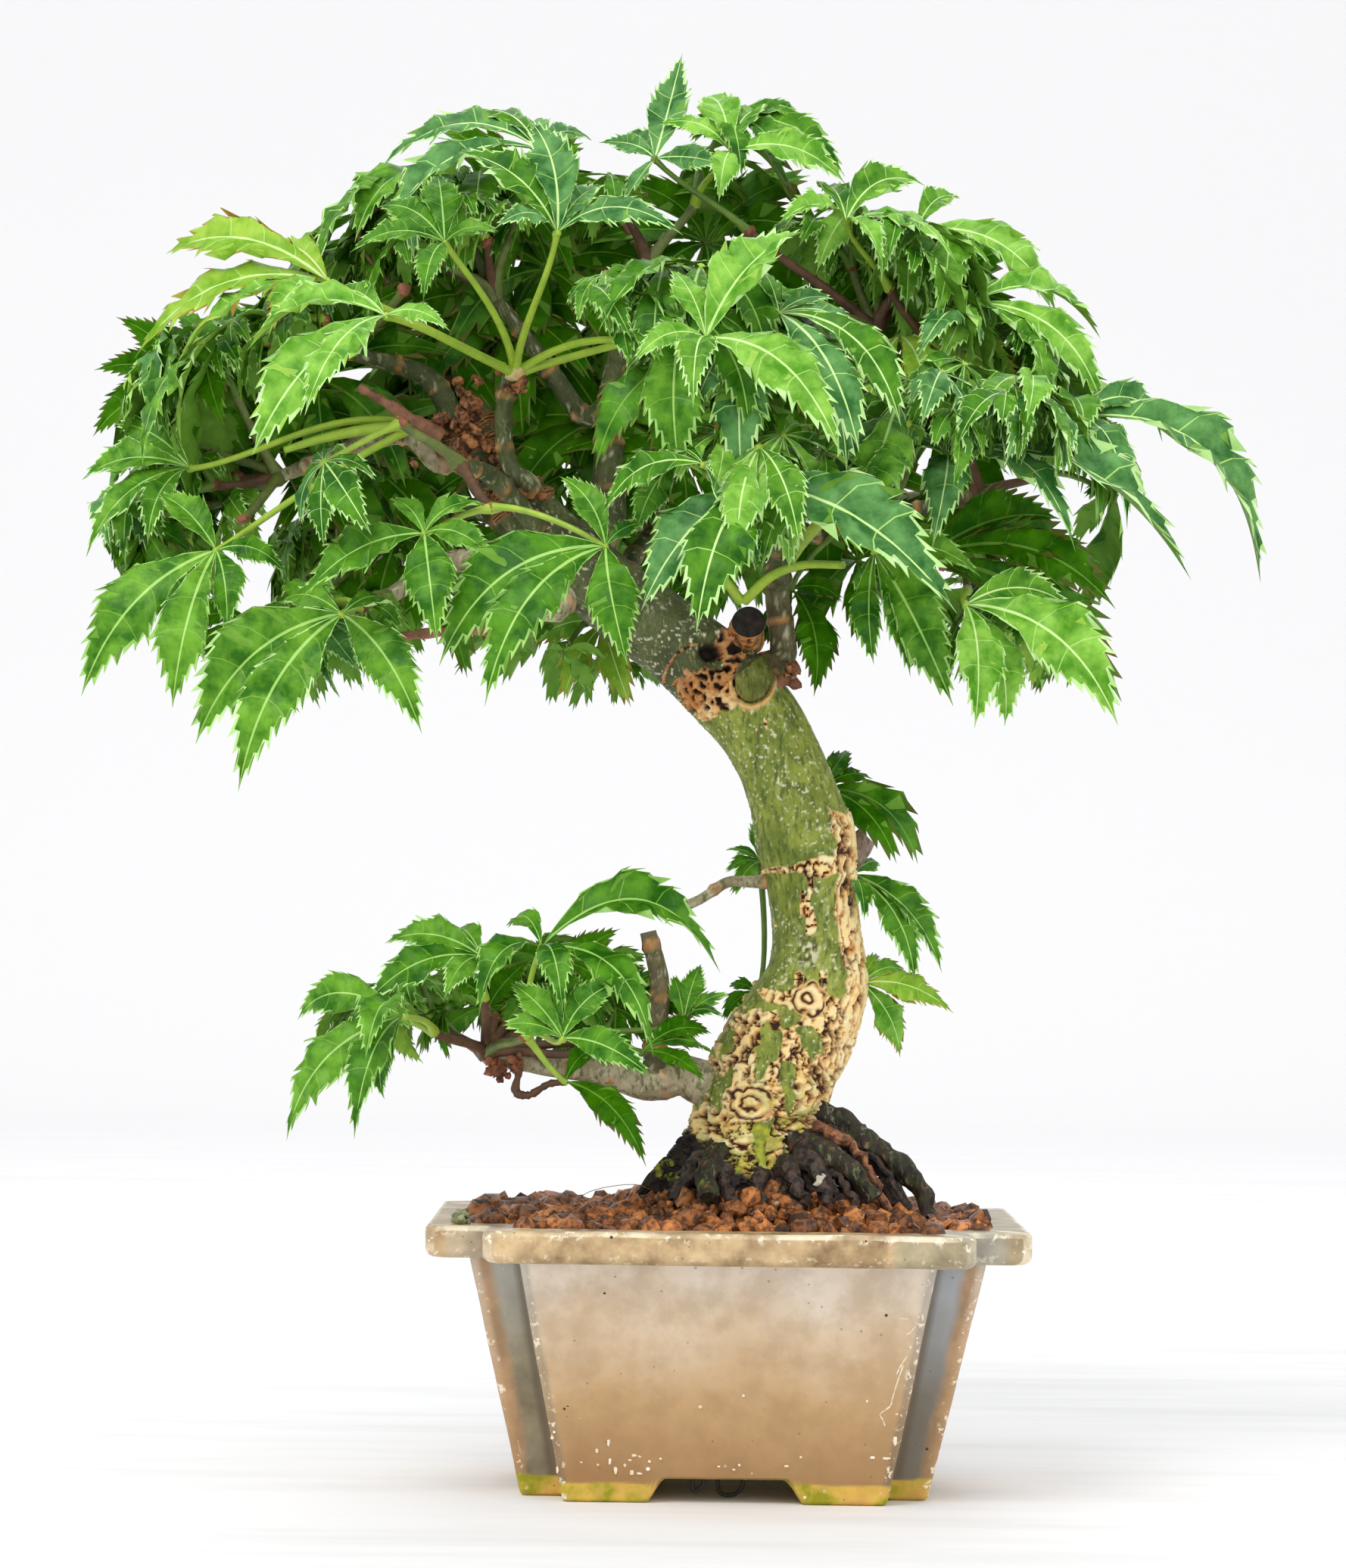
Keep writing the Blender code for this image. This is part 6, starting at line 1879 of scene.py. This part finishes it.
# Strands: finish, radius at each end, and points.
STRANDS = read_rows("""
hair 0.07 0.05, -27 -5 46.4, -23.6 -5 48.6, -15.8 -6 49.9, -13 -5 48.9
tie_wire 0.35 0.35, -5.5 -20 2.4, -5.2 -20 -0.8, -3.8 -20 0.2, -3.4 -20 2.4
tie_wire 0.35 0.35, -1.2 -18 2.4, -0.8 -18 -1.2, 1.6 -18 -1.5, 3 -18 -0.2, 3 -18 2.4
stalk 1.3 0.6, -56 -6 180.4, -63 -8 179.8, -71 -10 178, -78 -12 175.5
twig_pink 1.1 0.75, -51 -9 178.5, -58 -10 182.5, -65.5 -11 186.7
twig_pink 0.9 0.7, -40 -12 145, -50 -12 144.6, -59.5 -12 143.4
stalk 1.4 0.9, 9 -6 158.5, 11.5 -10 161.5, 16.5 -12 166.5
stalk 0.9 0.7, 1.5 -6 151, 6 -11 155, 11 -16 156.6, 18 -22 156.3
stalk 0.9 0.7, 1 -6 151, -4 -11 156, -15 -20 158
twig_brown 0.7 0.55, -36.3 -7 69, -36.7 -7 65.6, -34.6 -7 65.1, -31 -7 67.1, -28 -7 67.4
twig_brown 0.35 0.25, -61 -8 205, -66 -9 213, -61 -9 220
""")
BIT_SLOTS = {"soil": ("lichen", "pebble", "moss", "hair"), "glaze": ("tie_wire",),
             "young_bark": ("knob", "cut_wood", "bud", "stalk", "twig_pink", "twig_brown")}


def make_bits():
    """Knobs, buds, cut ends, loose stalks, moss, lichen, pebbles, a hair and tie wire."""
    for slot, names in BIT_SLOTS.items():
        draw = np.random.default_rng([43, len(names)])
        bits = Stock()
        for look, *numbers, count, size in CLUSTERS:
            if look in names:
                middle, spread = np.reshape(numbers, (2, 3))
                centres = middle + draw.normal(0, 1, (int(count), 3)) * spread
                add_lumps(bits, centres, size * draw.uniform(0.6, 1.2, int(count)),
                          names.index(look), draw, (0.5, 1.3), 0.3)
        for look, wide, narrow, *numbers in STRANDS:
            if look in names:
                points = np.reshape(numbers, (-1, 3))
                width = np.linspace(wide, narrow, len(points))
                path = smooth_path(np.column_stack([points, width]), 8)
                if look.startswith("twig"):
                    path[:, 3] *= draw.uniform(0.75, 1.3, len(path))
                bits.add_tube(path, 8, names.index(look))
        bits.piece("bits_" + slot, " ".join(names), slot, smooth=50)


# ---- studio ----
FLOOR_TONE = (239, 239, 240)
STREAK_TONE = (231, 231, 232)
WALL_TONE = (243, 243, 244)


def make_floor():
    """A floor that curves up into the backdrop: a level, a quarter circle and a wall."""
    bend = np.linspace(0, math.pi / 2, 16)
    run = np.concatenate([[-3000, -900, 0, 600], 1150 + 250 * np.sin(bend), [1400]])
    rise = np.concatenate([np.zeros(4), 250 - 250 * np.cos(bend), [4200]]) - FOOT_DROP
    across = np.linspace(-3500, 3500, 9)
    points = np.stack(np.broadcast_arrays(across, run[:, None], rise[:, None]), axis=-1)
    mesh = bpy.data.meshes.new("floor")
    mesh.from_pydata(set_down(points.reshape(-1, 3)).tolist(), [],
                     grid_faces(len(run), 9, closed=False).tolist())
    mesh.update()
    mesh.shade_smooth()

    def build(wire, place):
        drawn = wire.node("Mapping", {"Vector": place, "Scale": (0.2, 1.6, 1)}).outputs[0]
        streaks = wire.noise(drawn, 30, 5, 0.65)
        near = wire.mix(wire.span(streaks, 0.45, 0.62), FLOOR_TONE, STREAK_TONE)
        depth = wire.node("SeparateXYZ", {0: place}).outputs[1]
        return {"Base Color": wire.mix(wire.span(depth, 0.25, 1.2), near, WALL_TONE)}
    mesh.materials.append(finish("floor_paint", build, Roughness=0.8))
    floor = new_object("floor", mesh)


def add_softbox(name, place, aim, size, power):
    """A square area light at a place, aimed at a point."""
    light = bpy.data.lights.new(name, "AREA")
    light.shape = "SQUARE"
    light.size = size * MM
    light.energy = power
    lamp = new_object(name, light)
    lamp.location = set_down(place)
    away = np.asarray(aim, dtype=float) - np.asarray(place, dtype=float)
    lamp.rotation_euler = Vector(away).to_track_quat("-Z", "Y").to_euler()


def light_studio():
    """A white surround, and soft boxes over the left front, the right and behind."""
    world = bpy.data.worlds.new("studio")
    world.use_nodes = True
    surround = world.node_tree.nodes["Background"].inputs
    surround["Color"].default_value = (1, 1, 1, 1)
    surround["Strength"].default_value = 0.94
    bpy.context.scene.world = world
    add_softbox("key_light", (-450, -650, 950), (0, 0, 130), 500, 5.5)
    add_softbox("fill_light", (700, -600, 500), (0, 0, 120), 700, 1.5)
    add_softbox("back_light", (100, 600, 1000), (0, 0, 170), 600, 2)


def place_camera():
    """The camera, pitched up a little and rolled so that the right side sits lower."""
    camera = bpy.data.cameras.new("camera")
    camera.sensor_width = SENSOR
    camera.lens = LENS
    camera.clip_start, camera.clip_end = 0.01, 20
    eye = new_object("camera", camera)
    eye.location = set_down(EYE)
    turn = Matrix.Rotation(math.radians(90 + EYE_PITCH), 4, "X") \
        @ Matrix.Rotation(math.radians(EYE_ROLL), 4, "Z")
    eye.rotation_euler = turn.to_euler()
    bpy.context.scene.camera = eye


# ---- the whole scene ----

def build():
    """The pot, the soil, the limbs and every spray, then the studio."""
    make_finishes()
    make_pot()
    make_marks()
    make_soil()
    paths = make_limbs()
    make_root_mat()
    make_stubs()
    make_bits()
    for name in SPRAYS:
        grow_spray(name, paths)
    make_floor()
    light_studio()
    place_camera()


build()
bpy.context.scene.view_settings.view_transform = "Standard"
